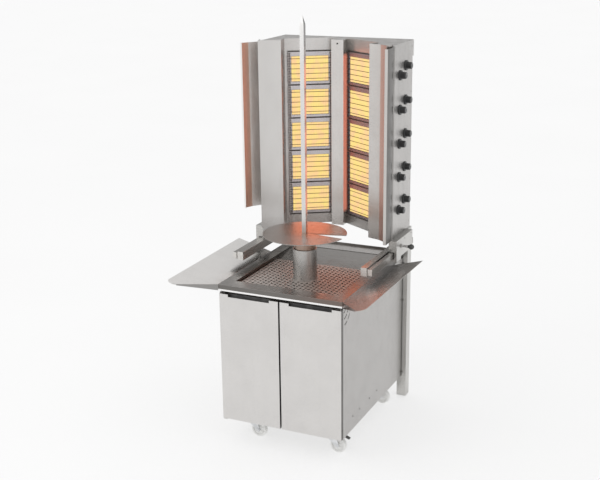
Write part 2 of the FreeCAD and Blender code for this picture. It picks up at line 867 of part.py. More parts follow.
def plaque_burners():
    """Ten burners, five on each panel, each a box and a plaque."""
    solids = []
    for row in range(burner_count):
        case, plaque = right_burner(row)
        solids += [case, plaque, mirrored(case), mirrored(plaque)]
    return group(solids)


def guard_grids():
    """Ten wire guards: two side straps on each burner's edges, with cross wires between."""
    a0, a1 = burner_span()
    solids = []
    for row in range(burner_count):
        low = burner_middle(row) - burner_tall / 2
        bars = [panel_box(a, a + guard_frame, -guard_stand, 0, low, low + burner_tall)
                for a in (a0, a1 - guard_frame)]
        step = burner_tall / guard_bars
        for i in range(guard_bars):
            z = low + (i + 0.5) * step - guard_rod / 2
            bars.append(panel_box(a0, a1, -guard_stand, guard_rod - guard_stand, z, z + guard_rod))
        grid = fused(bars)
        solids += [grid, mirrored(grid)]
    return group(solids)


def centre_mullion():
    """Channel that joins the two burner panels in the middle, with a hook hole near its top."""
    m = mullion_half
    path = [(-m, mullion_back), (-m, mullion_y), (m, mullion_y), (m, mullion_back)]
    hook_hole = rod(hook_hole_r, (0, mullion_y - sheet, head_top_z - hook_hole_drop), (0, 1, 0), 4 * sheet)
    return folded(path, sheet, head_z, head_top_z).cut(hook_hole)


def head_outline():
    """Plan outline of the plates that close the head, inside its sheets."""
    inner = head_half - sheet
    channel = mullion_half - sheet
    half = [(channel, mullion_y + sheet), (channel, mullion_back + sheet)]
    half += offset_path(front_path(), sheet)
    half += [(inner, head_front_y + sheet), (inner, cab_back)]
    return half + [(-x, y) for x, y in half[::-1]]


def head_top():
    """Top plate with a hood over the vent slots at the back."""
    t = sheet
    top = head_top_z
    low = top - hood_drop
    y0 = cab_back
    y1 = y0 + hood_depth
    pieces = [plan_prism(head_outline(), top - t, top),
              box(-head_half, head_half, y0, y1, top - t, top),
              box(-head_half, head_half, y1 - t, y1, low, top)]
    for side in (-1, 1):
        pieces.append(box(side * head_half, side * (head_half - t), y0, y1, low, top))
    return fused(pieces)


def head_bottom():
    """Bottom plate of the head."""
    return plan_prism(head_outline(), head_z, head_z + sheet)


def knob_places():
    """Knob middles on the right side as (y, z), from the lowest pair upwards."""
    places = []
    for row in range(burner_count):
        z = burner_middle(row) + knob_rise
        places.append((cab_back - knob_rear, z))
        places.append((cab_back - knob_front, z - knob_step_z))
    return places


def leaf_hinge_at():
    """Plan place of the right leaf's hinge pin, outside the head's front corner."""
    return head_half + leaf_barrel_r + leaf_air, head_front_y - leaf_barrel_r


def head_side(side):
    """Side sheet with the leaf's hinge pin on two ears; the right one has the spindle holes."""
    px, py = leaf_hinge_at()
    foot = head_z + (leaf_rise_right if side > 0 else leaf_rise_left)
    panel_front = head_front_y + sheet / 2
    pieces = [box(head_half - sheet, head_half, panel_front, cab_back, head_z, head_top_z)]
    for z in (foot - leaf_air - leaf_ear, head_top_z - leaf_ear):
        pieces.append(box(head_half, px + leaf_barrel_r, py - leaf_barrel_r, panel_front + leaf_ear_grip,
                          z, z + leaf_ear))
    pieces.append(rod(leaf_pin_r, (px, py, foot - leaf_air), (0, 0, 1),
                      head_top_z - leaf_ear - foot + leaf_air))
    panel = fused(pieces)
    if side < 0:
        return mirrored(panel)
    half = spindle_r + spindle_air
    holes = [box(head_half - 2 * sheet, head_half + sheet, y - half, y + half, z - half, z + half)
             for y, z in knob_places()]
    return panel.cut(holes)


def head_back():
    """Back sheet with a row of vent slots under the hood and a hole for the gas inlet."""
    inner = head_half - sheet
    back = box(-inner, inner, cab_back - sheet, cab_back, head_z + sheet, head_top_z - sheet)
    slots = []
    top = head_top_z - louvre_drop
    for i in range(louvre_count):
        x = (i - (louvre_count - 1) / 2) * louvre_pitch
        slots.append(box(x - louvre_long / 2, x + louvre_long / 2, cab_back - 2 * sheet,
                         cab_back + sheet, top - louvre_tall, top))
    inlet = rod(inlet_pipe_r + touch_gap, (pipe_x, cab_back - 2 * sheet, inlet_z), (0, 1, 0), 4 * sheet)
    return back.cut(slots + [inlet])


def feed_pipe(points, z):
    """Thin pipe through (x, y) points at one height, its runs lapped at the corners."""
    runs = []
    last = len(points) - 2
    for i in range(last + 1):
        run = V(points[i + 1][0] - points[i][0], points[i + 1][1] - points[i][1], 0)
        length = run.Length + (feed_r if i < last else 0)
        run.normalize()
        runs.append(many_sided(feed_r, feed_sides, (points[i][0], points[i][1], z), tuple(run), length))
    return runs


def burner_back_y(x):
    """Where the plane of the burners' backs lies at a distance from the middle."""
    corner = panel_point(0, -burner_deep, 0)
    return corner.y + (x - corner.x) * panel_vector[1] / panel_vector[0]


def burner_back_x(y):
    """Distance from the middle at which that plane is met by a line along X."""
    corner = panel_point(0, -burner_deep, 0)
    return corner.x + (y - corner.y) * panel_vector[0] / panel_vector[1]


def feed_pipes():
    """A pipe to each burner: straight to the right ones, behind them to the left ones."""
    rear = cab_back - knob_rear
    front = cab_back - knob_front
    x = pipe_x - pipe_side / 2
    turn_x = x - feed_side_gap
    behind = cab_back - feed_back_gap
    right_end = burner_back_x(rear - feed_r) + touch_gap
    left_end = burner_back_y(feed_left_x - feed_r) + touch_gap
    pipes = []
    for row in range(burner_count):
        z = burner_middle(row) + knob_rise
        pipes += feed_pipe([(x, rear), (right_end, rear)], z)
        pipes += feed_pipe([(x, front), (turn_x, front), (turn_x, behind), (-feed_left_x, behind),
                            (-feed_left_x, left_end)], z - knob_step_z)
    return pipes


def gas_train():
    """Two upright gas pipes with five valves each, the feed pipes and the inlet nipple."""
    low = head_z + 2 * sheet
    high = burner_middle(burner_count - 1) + knob_rise + valve_side
    half = pipe_side / 2
    front = cab_back - knob_front
    pieces = [box(pipe_x - half, pipe_x + half, y - half, y + half, low, high)
              for y in (cab_back - knob_rear, front)]
    nipple_y = cab_back + touch_gap
    pieces.append(rod(inlet_pipe_r, (pipe_x, front, inlet_z), (0, 1, 0), nipple_y - front))
    pieces.append(rod(inlet_r, (pipe_x, nipple_y, inlet_z), (0, 1, 0), inlet_out))
    pieces += feed_pipes()
    inner = head_half - sheet
    bore = spindle_r + run_clear
    body = valve_side / 2
    for y, z in knob_places():
        valve = box(pipe_x - half, inner, y - body, y + body, z - body, z + body)
        pieces.append(valve.cut(box(inner, inner - spindle_length - sheet, y - bore, y + bore,
                                    z - bore, z + bore)))
    return fused(pieces)


def knob(place):
    """Knob with a flat-sided skirt, a narrower grip and its spindle."""
    y, z = place
    face = head_half + knob_face_gap
    skirt = many_sided(knob_skirt_r, knob_sides, (face, y, z), (1, 0, 0), knob_skirt)
    grip = many_sided(knob_grip_r, knob_sides // 2, (face, y, z), (1, 0, 0), knob_skirt + knob_grip)
    spindle = many_sided(spindle_r, spindle_sides, (head_half - sheet - spindle_length, y, z), (1, 0, 0),
                         spindle_length + sheet + knob_face_gap)
    return fused([skirt, grip, spindle])


def side_leaf(side):
    """Hinged leaf: a sheet with a slight fold, a lip at its tip and a barrel at its root."""
    px, py = leaf_hinge_at()
    foot = head_z + (leaf_rise_right if side > 0 else leaf_rise_left)
    angle = math.radians(leaf_angle_right if side > 0 else leaf_angle_left)
    top = head_top_z - leaf_ear - leaf_air
    ux, uy = math.sin(angle), -math.cos(angle)

    def at(along, outward):
        return (px + ux * along - uy * outward, py + uy * along + ux * outward)

    path = [at(0, 0), at(leaf_fold_at, leaf_fold), at(leaf_length, 0), at(leaf_length, -leaf_lip)]
    leaf = folded(path, -sheet, foot, top)
    barrel = rod(leaf_barrel_r, (px, py, foot), (0, 0, 1), top - foot)
    bore = rod(leaf_pin_r + run_clear, (px, py, foot - 1), (0, 0, 1), top - foot + 2)
    leaf = fused([leaf, barrel]).cut(bore)
    return leaf if side > 0 else mirrored(leaf)


# Carriages of the head
def carriage(side):
    """Channel under the head's side edge that hangs over the guide bar."""
    t = sheet
    top = head_z
    y0 = carriage_front
    y1 = carriage_back
    foot = tube_z - carriage_low
    step_y = y0 + carriage_step
    cheek = [(y0, top), (y1, top), (y1, bar_z), (step_y, bar_z), (step_y, foot), (y0, foot)]
    shell = fused([box(carriage_in, carriage_out, y0, y1, top - t, top),
                   side_prism(cheek, carriage_in, carriage_in + t),
                   side_prism(cheek, carriage_out - t, carriage_out)])
    if side < 0:
        return mirrored(shell)
    return shell.cut(rod(clamp_r + run_clear, (carriage_out - 2 * t, clamp_y, clamp_z), (1, 0, 0), 4 * t))


def rail_bushes():
    """Plastic slide blocks at both ends of each carriage, and the clamp shoe on the right."""
    t = sheet
    gap = touch_gap
    solids = []
    for y in (carriage_front, carriage_back - bush_thick):
        block = box(carriage_in + t, carriage_out - t, y, y + bush_thick, bar_z - bush_wall,
                    bar_z + bar_tall + bush_wall)
        window = box(bar_in - gap, bar_out + gap, y, y + bush_thick, bar_z - gap, bar_z + bar_tall + gap)
        block = block.cut(window)
        solids += [block, mirrored(block)]
    shoe_half = clamp_r + sheet
    solids.append(box(bar_out + gap, bar_out + gap + pad_thick, clamp_y - shoe_half, clamp_y + shoe_half,
                      bar_z + bar_tall / 3, clamp_z + shoe_half))
    return group(solids)


def clamp_screw():
    """Clamp screw with a collar outside the carriage and a ball grip on its end."""
    nose_x = bar_out + 2 * touch_gap + pad_thick
    ball = []
    for step in range(ball_rings):
        turn = math.radians(ball_cut + (180 - 2 * ball_cut) * step / (ball_rings - 1))
        ball.append((clamp_ball_r * math.sin(turn), -clamp_ball_r * math.cos(turn)))
    stem = rod(clamp_r, (nose_x, clamp_y, clamp_z), (1, 0, 0), clamp_ball_x - nose_x)
    collar = many_sided(clamp_r + clamp_collar, knob_sides, (carriage_out + touch_gap, clamp_y, clamp_z),
                        (1, 0, 0), clamp_collar_long)
    return fused([stem, collar, faceted(ball, knob_sides, (clamp_ball_x, clamp_y, clamp_z), (1, 0, 0))])


# Casters
def caster_centres():
    """Swivel axes in the order front left, front right, rear left, rear right."""
    return [(x, cab_mid + y) for y in (-caster_y, caster_y) for x in (-caster_x, caster_x)]


def caster_plates():
    """Four top plates with their kingpins."""
    solids = []
    low = caster_height - plate_thick
    for x, y in caster_centres():
        plate = box(x - plate_x / 2, x + plate_x / 2, y - plate_y / 2, y + plate_y / 2, low, caster_height)
        pin = rod(kingpin_r, (x, y, low - swivel_tall), (0, 0, 1), swivel_tall)
        solids.append(fused([plate, pin]))
    return group(solids)


def caster_fork(x, y, braked):
    """Swivel head, crown and two legs, with the axle between them and its bolt heads outside."""
    head = many_sided(swivel_r, knob_sides, (x, y, crown_top), (0, 0, 1), swivel_tall)
    in_y = wheel_wide / 2 + fork_gap
    out_y = in_y + fork_leg
    x0 = x - swivel_r
    x1 = x + swivel_r
    crown = box(x0, x1, y - out_y, y + out_y, crown_low, crown_top)
    axle_x = x + caster_trail
    eye = fork_eye
    legs = [front_prism([(x0, crown_top), (x1, crown_top), (axle_x + eye, wheel_r + eye / 2),
                         (axle_x + eye, wheel_r - eye / 2), (axle_x + eye / 2, wheel_r - eye),
                         (axle_x - eye / 2, wheel_r - eye), (axle_x - eye, wheel_r - eye / 2)],
                        low_y, low_y + fork_leg) for low_y in (y - out_y, y + in_y)]
    axle = rod(axle_r, (axle_x, y - out_y, wheel_r), (0, 1, 0), 2 * out_y)
    heads = [many_sided(axle_head_r, 6, (axle_x, start, wheel_r), (0, 1, 0), fork_leg)
             for start in (y - out_y - fork_leg, y + out_y)]
    fork = fused([head, crown, axle] + legs + heads)
    fork = fork.cut(rod(kingpin_r + run_clear, (x, y, crown_low - fork_leg), (0, 0, 1),
                        swivel_tall + crown_tall + 2 * fork_leg))
    if braked:
        half = pedal_wide / 2 + fork_gap
        fork = fork.cut(box(x + pedal_slot, x1, y - half, y + half, crown_low, crown_top))
        pin = rod(pedal_pin_r, (x + pedal_pivot, y - out_y, pedal_z), (0, 1, 0), 2 * out_y)
        fork = fused([fork, pin])
    return fork


def caster_wheel(x, y):
    """Wheel with a hub that stands a little proud of its tread."""
    half = wheel_wide / 2
    place = (x + caster_trail, y, wheel_r)
    tread = half - hub_proud
    body = faceted([(wheel_r, -tread), (wheel_r, tread)], wheel_sides, place, (0, 1, 0))
    hub = faceted([(wheel_hub_r, -half), (wheel_hub_r, half)], knob_sides, place, (0, 1, 0))
    bore = rod(axle_r + run_clear, (place[0], y - wheel_wide, wheel_r), (0, 1, 0), 2 * wheel_wide)
    return fused([body, hub]).cut(bore)


def brake_pedal(x, y):
    """Pedal that reaches out over the wheel from its pivot in the fork."""
    z = pedal_z
    px = x + pedal_pivot
    tip = x + caster_trail + wheel_r + pedal_beyond
    half = pedal_wide / 2
    boss = pedal_boss
    tread = tip - pedal_tread
    arm = front_prism([(px - boss, z - boss), (px + boss, z - boss), (tread, z - pedal_drop + sheet),
                       (tip, z - pedal_drop - boss), (tip + sheet, z - pedal_drop + sheet),
                       (tread + sheet, z - boss + sheet), (px + boss, z + boss / 2), (px, z + boss),
                       (px - boss, z + boss / 2)], y - half, y + half)
    return arm.cut(rod(pedal_pin_r + run_clear, (px, y - pedal_wide, z), (0, 1, 0), 2 * pedal_wide))


def build():
    """All nodes by name."""
    nodes = {
        "cabinet_left_side": cabinet_side(-1),
        "cabinet_right_side": cabinet_side(1),
        "cabinet_back": cabinet_back(),
        "cabinet_floor": cabinet_floor(),
        "front_top_rail": front_top_rail(),
        "door_left": door(-1),
        "door_right": door(1),
        "drawer_runners": drawer_runners(),
        "grease_drawer": grease_drawer(),
        "tray_pan": tray_pan(),
        "tray_wing_left": tray_wing(-1),
        "tray_wing_right": tray_wing(1),
        "drip_plate": drip_plate(),
        "column": column(),
        "gear_motor": gear_motor(),
        "drive_shaft": drive_shaft(),
        "spit_disc": spit_disc(),
        "spit_bar": spit_bar(),
        "rear_post_left": rear_post(-1),
        "rear_post_right": rear_post(1),
        "rail_left": slide_rail(-1),
        "rail_right": slide_rail(1),
        "head_left_side": head_side(-1),
        "head_right_side": head_side(1),
        "head_back": head_back(),
        "head_top": head_top(),
        "head_bottom": head_bottom(),
        "centre_mullion": centre_mullion(),
        "burner_panel_left": burner_panel(-1),
        "burner_panel_right": burner_panel(1),
        "plaque_burners": plaque_burners(),
        "guard_grids": guard_grids(),
        "gas_train": gas_train(),
        "carriage_left": carriage(-1),
        "carriage_right": carriage(1),
        "rail_bushes": rail_bushes(),
        "clamp_screw": clamp_screw(),
        "side_leaf_left": side_leaf(-1),
        "side_leaf_right": side_leaf(1),
        "caster_plates": caster_plates()}
    for number, place in enumerate(knob_places(), start=1):
        nodes["knob_%02d" % number] = knob(place)
    names = ("front_left", "front_right", "rear_left", "rear_right")
    for name, (x, y) in zip(names, caster_centres()):
        braked = name.startswith("front")
        nodes["fork_" + name] = caster_fork(x, y, braked)
        nodes["wheel_" + name] = caster_wheel(x, y)
        if braked:
            nodes["brake_" + name] = brake_pedal(x, y)
    return nodes


def main():
    os.makedirs("parts", exist_ok=True)
    for name, shape in build().items():
        shape.exportStep("parts/" + name + ".step")
        print(name, "solids", len(shape.Solids), "valid", shape.isValid(), "volume", round(shape.Volume))


main()
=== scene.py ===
import logging
import math
from dataclasses import dataclass
from enum import Enum
from typing import Iterable, Optional, Sequence, Union

import bmesh
import bpy
from mathutils import Matrix, Vector
from mathutils.geometry import delaunay_2d_cdt


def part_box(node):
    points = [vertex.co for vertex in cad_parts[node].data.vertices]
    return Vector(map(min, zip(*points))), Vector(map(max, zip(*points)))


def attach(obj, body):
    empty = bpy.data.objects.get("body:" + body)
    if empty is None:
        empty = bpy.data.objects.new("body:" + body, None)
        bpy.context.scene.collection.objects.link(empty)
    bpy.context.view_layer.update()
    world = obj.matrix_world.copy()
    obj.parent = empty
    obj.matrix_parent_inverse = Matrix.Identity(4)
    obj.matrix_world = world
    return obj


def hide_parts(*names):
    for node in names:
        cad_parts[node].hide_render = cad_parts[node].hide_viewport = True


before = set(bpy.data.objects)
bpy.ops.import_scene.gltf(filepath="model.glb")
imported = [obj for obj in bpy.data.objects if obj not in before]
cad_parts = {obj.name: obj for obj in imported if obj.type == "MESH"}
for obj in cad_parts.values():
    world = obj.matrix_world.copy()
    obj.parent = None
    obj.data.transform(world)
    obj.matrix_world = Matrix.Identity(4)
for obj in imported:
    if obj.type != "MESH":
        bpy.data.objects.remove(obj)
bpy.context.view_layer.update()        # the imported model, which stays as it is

LOG = logging.getLogger("grill")

Pair = tuple[float, float]
Triple = tuple[float, float, float]
Socket = bpy.types.NodeSocket
Feed = Union[Socket, float, Triple]

SIDES = (-1, 1)
SIDE_NAMES = {-1: "left", 1: "right"}
X_AXIS = Vector((1, 0, 0))
Y_AXIS = Vector((0, 1, 0))
Z_AXIS = Vector((0, 0, 1))
SOFT_EDGE_ANGLE = math.radians(32)
WELD_REACH = 0.00001


# Shader trees
class Shading:
    """Places and links the nodes of one material or node group."""

    def __init__(self, tree: bpy.types.NodeTree) -> None:
        """Keep the tree that the nodes go into."""
        self.tree = tree

    def add(self, kind: str, **settings: object) -> bpy.types.Node:
        """Add a node.

        Args:
            kind: Node type, such as ShaderNodeMath.
            settings: Values for the node's own fields.

        Returns:
            The new node.
        """
        node = self.tree.nodes.new(kind)
        for name, value in settings.items():
            setattr(node, name, value)
        return node

    def feed(self, socket: Socket, value: Feed) -> None:
        """Link a socket to another one, or set its value."""
        if isinstance(value, bpy.types.NodeSocket):
            self.tree.links.new(value, socket)
        else:
            socket.default_value = value

    def math(self, operation: str, first: Feed, second: Feed = 0.0) -> Socket:
        """Result of a two-value sum, product or the like."""
        node = self.add("ShaderNodeMath", operation=operation)
        self.feed(node.inputs[0], first)
        self.feed(node.inputs[1], second)
        return node.outputs[0]

    def vector_math(self, operation: str, first: Feed, second: Feed = (0.0, 0.0, 0.0)) -> bpy.types.Node:
        """Node that works on two vectors."""
        node = self.add("ShaderNodeVectorMath", operation=operation)
        self.feed(node.inputs[0], first)
        self.feed(node.inputs[1], second)
        return node

    def remap(self, value: Feed, low: Feed, high: Feed, to_low: Feed = 0.0, to_high: Feed = 1.0) -> Socket:
        """Value moved smoothly from one range to another.

        Args:
            value: What is moved.
            low: Start of the range that it comes in.
            high: End of that range.
            to_low: Start of the range that it goes out in.
            to_high: End of that range.

        Returns:
            The moved value.
        """
        node = self.add("ShaderNodeMapRange", interpolation_type="SMOOTHSTEP")
        for socket, given in zip(node.inputs, (value, low, high, to_low, to_high)):
            self.feed(socket, given)
        return node.outputs[0]

    def noise(self, vector: Feed, scale: Feed, detail: float = 3.0, roughness: float = 0.55) -> Socket:
        """Cloudy noise from 0 to 1."""
        node = self.add("ShaderNodeTexNoise")
        self.feed(node.inputs["Vector"], vector)
        self.feed(node.inputs["Scale"], scale)
        node.inputs["Detail"].default_value = detail
        node.inputs["Roughness"].default_value = roughness
        return node.outputs["Fac"]

    def mix(self, factor: Feed, first: Feed, second: Feed, blend: str = "MIX") -> Socket:
        """Colour between two colours.

        Args:
            factor: Share of the second colour.
            first: First colour, a socket or three numbers.
            second: Second colour, likewise.
            blend: How the second is laid over the first.

        Returns:
            The mixed colour.
        """
        node = self.add("ShaderNodeMix", data_type="RGBA", blend_type=blend)
        self.feed(node.inputs[0], factor)
        for socket, colour in ((node.inputs[6], first), (node.inputs[7], second)):
            self.feed(socket, colour if isinstance(colour, bpy.types.NodeSocket) else (*colour, 1.0))
        return node.outputs[2]

    def place(self) -> Socket:
        """Place on the piece in the object's own frame, in metres."""
        return self.add("ShaderNodeTexCoord").outputs["Object"]

    def effect(self, group: bpy.types.NodeTree, **values: Feed) -> bpy.types.Node:
        """Add a shared effect with its own values.

        Args:
            group: The effect's node group.
            values: Input values by name, with _ for a space.

        Returns:
            The group node.
        """
        node = self.add("ShaderNodeGroup", node_tree=group)
        for name, value in values.items():
            self.feed(node.inputs[name.replace("_", " ")], value)
        return node


class Effects:
    """The effects that several materials share, each a node group that is built once."""

    def __init__(self) -> None:
        """Build every group."""
        self.grain = self.build_grain()
        self.rings = self.build_rings()
        self.wear = self.build_wear()
        self.smudges = self.build_smudges()
        self.painted_glow = self.build_painted_glow()
        self.grit = self.build_grit()
        self.corner_shade = self.build_corner_shade()
        self.facing = self.build_facing()

    @staticmethod
    def group(name: str, inputs: dict[str, Union[float, Triple]],
              outputs: Sequence[str]) -> tuple[Shading, bpy.types.Node, bpy.types.Node]:
        """Start a node group.

        Args:
            name: The group's name.
            inputs: Default values by name; three numbers make a vector.
            outputs: Names of the values that it puts out.

        Returns:
            Its shading helper, its input node and its output node.
        """
        tree = bpy.data.node_groups.new(name, "ShaderNodeTree")
        for label, value in inputs.items():
            kind = "NodeSocketVector" if isinstance(value, tuple) else "NodeSocketFloat"
            tree.interface.new_socket(name=label, in_out="INPUT", socket_type=kind).default_value = value
        for label in outputs:
            tree.interface.new_socket(name=label, in_out="OUTPUT", socket_type="NodeSocketFloat")
        shade = Shading(tree)
        return shade, shade.add("NodeGroupInput"), shade.add("NodeGroupOutput")

    def build_grain(self) -> bpy.types.NodeTree:
        """Straight brushed lines, drawn out along one axis, with longer and paler bands among them."""
        shade, given, made = self.group("brushed_grain", {"Stretch": (900.0, 900.0, 12.0)}, ["Line", "Band"])
        stretched = shade.vector_math("MULTIPLY", shade.place(), given.outputs["Stretch"]).outputs[0]
        fine = shade.noise(stretched, 1.0, 3.0, 0.65)
        wide = shade.noise(stretched, 0.11, 2.0, 0.5)
        shade.feed(made.inputs["Line"], shade.remap(fine, 0.3, 0.7))
        shade.feed(made.inputs["Band"], shade.remap(wide, 0.32, 0.68))
        return shade.tree

    def build_rings(self) -> bpy.types.NodeTree:
        """Turning marks: fine rings round an upright axis."""
        shade, given, made = self.group("turning_rings", {"Centre": (0.0, 0.0, 0.0), "Fineness": 1500.0},
                                        ["Line", "Band"])
        away = shade.vector_math("SUBTRACT", shade.place(), given.outputs["Centre"]).outputs[0]
        split = shade.add("ShaderNodeSeparateXYZ")
        shade.feed(split.inputs[0], away)
        square = shade.math("ADD", shade.math("MULTIPLY", split.outputs[0], split.outputs[0]),
                            shade.math("MULTIPLY", split.outputs[1], split.outputs[1]))
        radius = shade.math("MULTIPLY", shade.math("SQRT", square), given.outputs["Fineness"])
        height = shade.math("MULTIPLY", split.outputs[2], given.outputs["Fineness"])
        ring = shade.add("ShaderNodeCombineXYZ")
        shade.feed(ring.inputs[0], radius)
        shade.feed(ring.inputs[2], height)
        shade.feed(made.inputs["Line"], shade.remap(shade.noise(ring.outputs[0], 1.0, 2.0, 0.6), 0.3, 0.7))
        shade.feed(made.inputs["Band"], shade.remap(shade.noise(ring.outputs[0], 0.06, 2.0, 0.5), 0.32, 0.68))
        return shade.tree

    def build_wear(self) -> bpy.types.NodeTree:
        """Rubbed edges: where the surface turns sharply, broken up by noise."""
        shade, given, made = self.group("edge_wear", {"Width": 0.0012, "Breakup": 90.0}, ["Mask"])
        rounded = shade.add("ShaderNodeBevel", samples=4)
        shade.feed(rounded.inputs["Radius"], given.outputs["Width"])
        flat = shade.add("ShaderNodeNewGeometry").outputs["Normal"]
        turn = shade.vector_math("DOT_PRODUCT", rounded.outputs[0], flat).outputs["Value"]
        edge = shade.remap(turn, 0.995, 0.86)
        broken = shade.remap(shade.noise(shade.place(), given.outputs["Breakup"], 4.0, 0.7), 0.35, 0.65, 0.25, 1.0)
        shade.feed(made.inputs["Mask"], shade.math("MULTIPLY", edge, broken))
        return shade.tree

    def build_smudges(self) -> bpy.types.NodeTree:
        """Soft wiping marks and thin film on a surface that is cleaned by hand."""
        shade, given, made = self.group("smudges", {"Size": 7.0}, ["Film", "Wipe"])
        shade.feed(made.inputs["Film"], shade.remap(shade.noise(shade.place(), given.outputs["Size"], 4.0, 0.6),
                                                    0.38, 0.72))
        slanted = shade.vector_math("MULTIPLY", shade.place(), (30.0, 30.0, 9.0)).outputs[0]
        shade.feed(made.inputs["Wipe"], shade.remap(shade.noise(slanted, 1.0, 3.0, 0.6), 0.42, 0.7))
        return shade.tree

    def build_painted_glow(self) -> bpy.types.NodeTree:
        """Painted burner glow: strongest near an upright line, fading with distance from it."""
        defaults = {"Line": (0.0, 0.0, 0.0), "Near": 0.1, "Far": 0.3, "Waver": 0.05}
        shade, given, made = self.group("painted_burner_glow", defaults, ["Mask"])
        away = shade.vector_math("SUBTRACT", shade.place(), given.outputs["Line"]).outputs[0]
        level = shade.vector_math("MULTIPLY", away, (1.0, 1.0, 0.0)).outputs[0]
        distance = shade.vector_math("LENGTH", level).outputs["Value"]
        waver = shade.math("MULTIPLY", shade.noise(shade.place(), 9.0), given.outputs["Waver"])
        wavy = shade.math("ADD", distance, waver)
        shade.feed(made.inputs["Mask"], shade.remap(wavy, given.outputs["Far"], given.outputs["Near"]))
        return shade.tree

    def build_grit(self) -> bpy.types.NodeTree:
        """Fine even speckle, as on moulded plastic, enamel or rolled zinc."""
        shade, given, made = self.group("grit", {"Size": 900.0}, ["Speck", "Cloud"])
        shade.feed(made.inputs["Speck"], shade.remap(shade.noise(shade.place(), given.outputs["Size"], 2.0, 0.5),
                                                     0.3, 0.7))
        shade.feed(made.inputs["Cloud"], shade.remap(shade.noise(shade.place(), 28.0, 3.0, 0.6), 0.35, 0.7))
        return shade.tree

    def build_corner_shade(self) -> bpy.types.NodeTree:
        """Painted shade in corners and under ledges, where little light comes in, found by ambient occlusion and
        broken up by noise.
        """
        shade, given, made = self.group("painted_corner_shade", {"Reach": 0.08}, ["Mask"])
        open_sky = shade.add("ShaderNodeAmbientOcclusion", samples=4)
        shade.feed(open_sky.inputs["Distance"], given.outputs["Reach"])
        broken = shade.remap(shade.noise(shade.place(), 14.0, 4.0, 0.6), 0.3, 0.7, 0.75, 1.0)
        closed = shade.remap(open_sky.outputs["AO"], 0.97, 0.35)
        shade.feed(made.inputs["Mask"], shade.math("MULTIPLY", closed, broken))
        return shade.tree

    def build_facing(self) -> bpy.types.NodeTree:
        """Mask of faces that look one way, such as the turned-down front of a tray; it places painted shade, painted
        burner glow and the painted shade under the plate.
        """
        shade, given, made = self.group("facing", {"Way": (0.0, -1.0, 0.0)}, ["Mask", "Either"])
        normal = shade.add("ShaderNodeTexCoord").outputs["Normal"]
        turn = shade.vector_math("DOT_PRODUCT", normal, given.outputs["Way"]).outputs["Value"]
        shade.feed(made.inputs["Mask"], shade.remap(turn, 0.55, 0.9))
        shade.feed(made.inputs["Either"], shade.remap(shade.math("ABSOLUTE", turn), 0.55, 0.9))
        return shade.tree


EFFECTS = Effects()


# Finishes
class Grain(Enum):
    """Way that a brushed surface was ground, as a stretch of its noise."""

    ACROSS = (12.0, 900.0, 900.0)
    DEEP = (900.0, 12.0, 900.0)
    UPRIGHT = (900.0, 900.0, 12.0)
    TURNED = (0.0, 0.0, 0.0)


FINISHED: dict[str, bpy.types.Material] = {}


def principled(name: str) -> tuple[bpy.types.Material, Shading, bpy.types.Node, bool]:
    """Material with one main shader, made once for each name.

    Args:
        name: The material's name.

    Returns:
        The material, its shading helper, its shader, and whether it was made just now.
    """
    fresh = name not in FINISHED
    if fresh:
        FINISHED[name] = bpy.data.materials.new(name + "_finish")
        FINISHED[name].use_nodes = True
    material = FINISHED[name]
    shade = Shading(material.node_tree)
    return material, shade, material.node_tree.nodes["Principled BSDF"], fresh


def scaled(colour: Triple, share: float) -> Triple:
    """Colour made lighter or darker, held at white."""
    return tuple(min(1.0, part * share) for part in colour)


def bump(shade: Shading, shader: bpy.types.Node, height: Socket, distance: float, strength: float = 1.0) -> None:
    """Feed a height into the shader's normal."""
    node = shade.add("ShaderNodeBump")
    node.inputs["Strength"].default_value = strength
    node.inputs["Distance"].default_value = distance
    shade.feed(node.inputs["Height"], height)
    shade.feed(shader.inputs["Normal"], node.outputs[0])


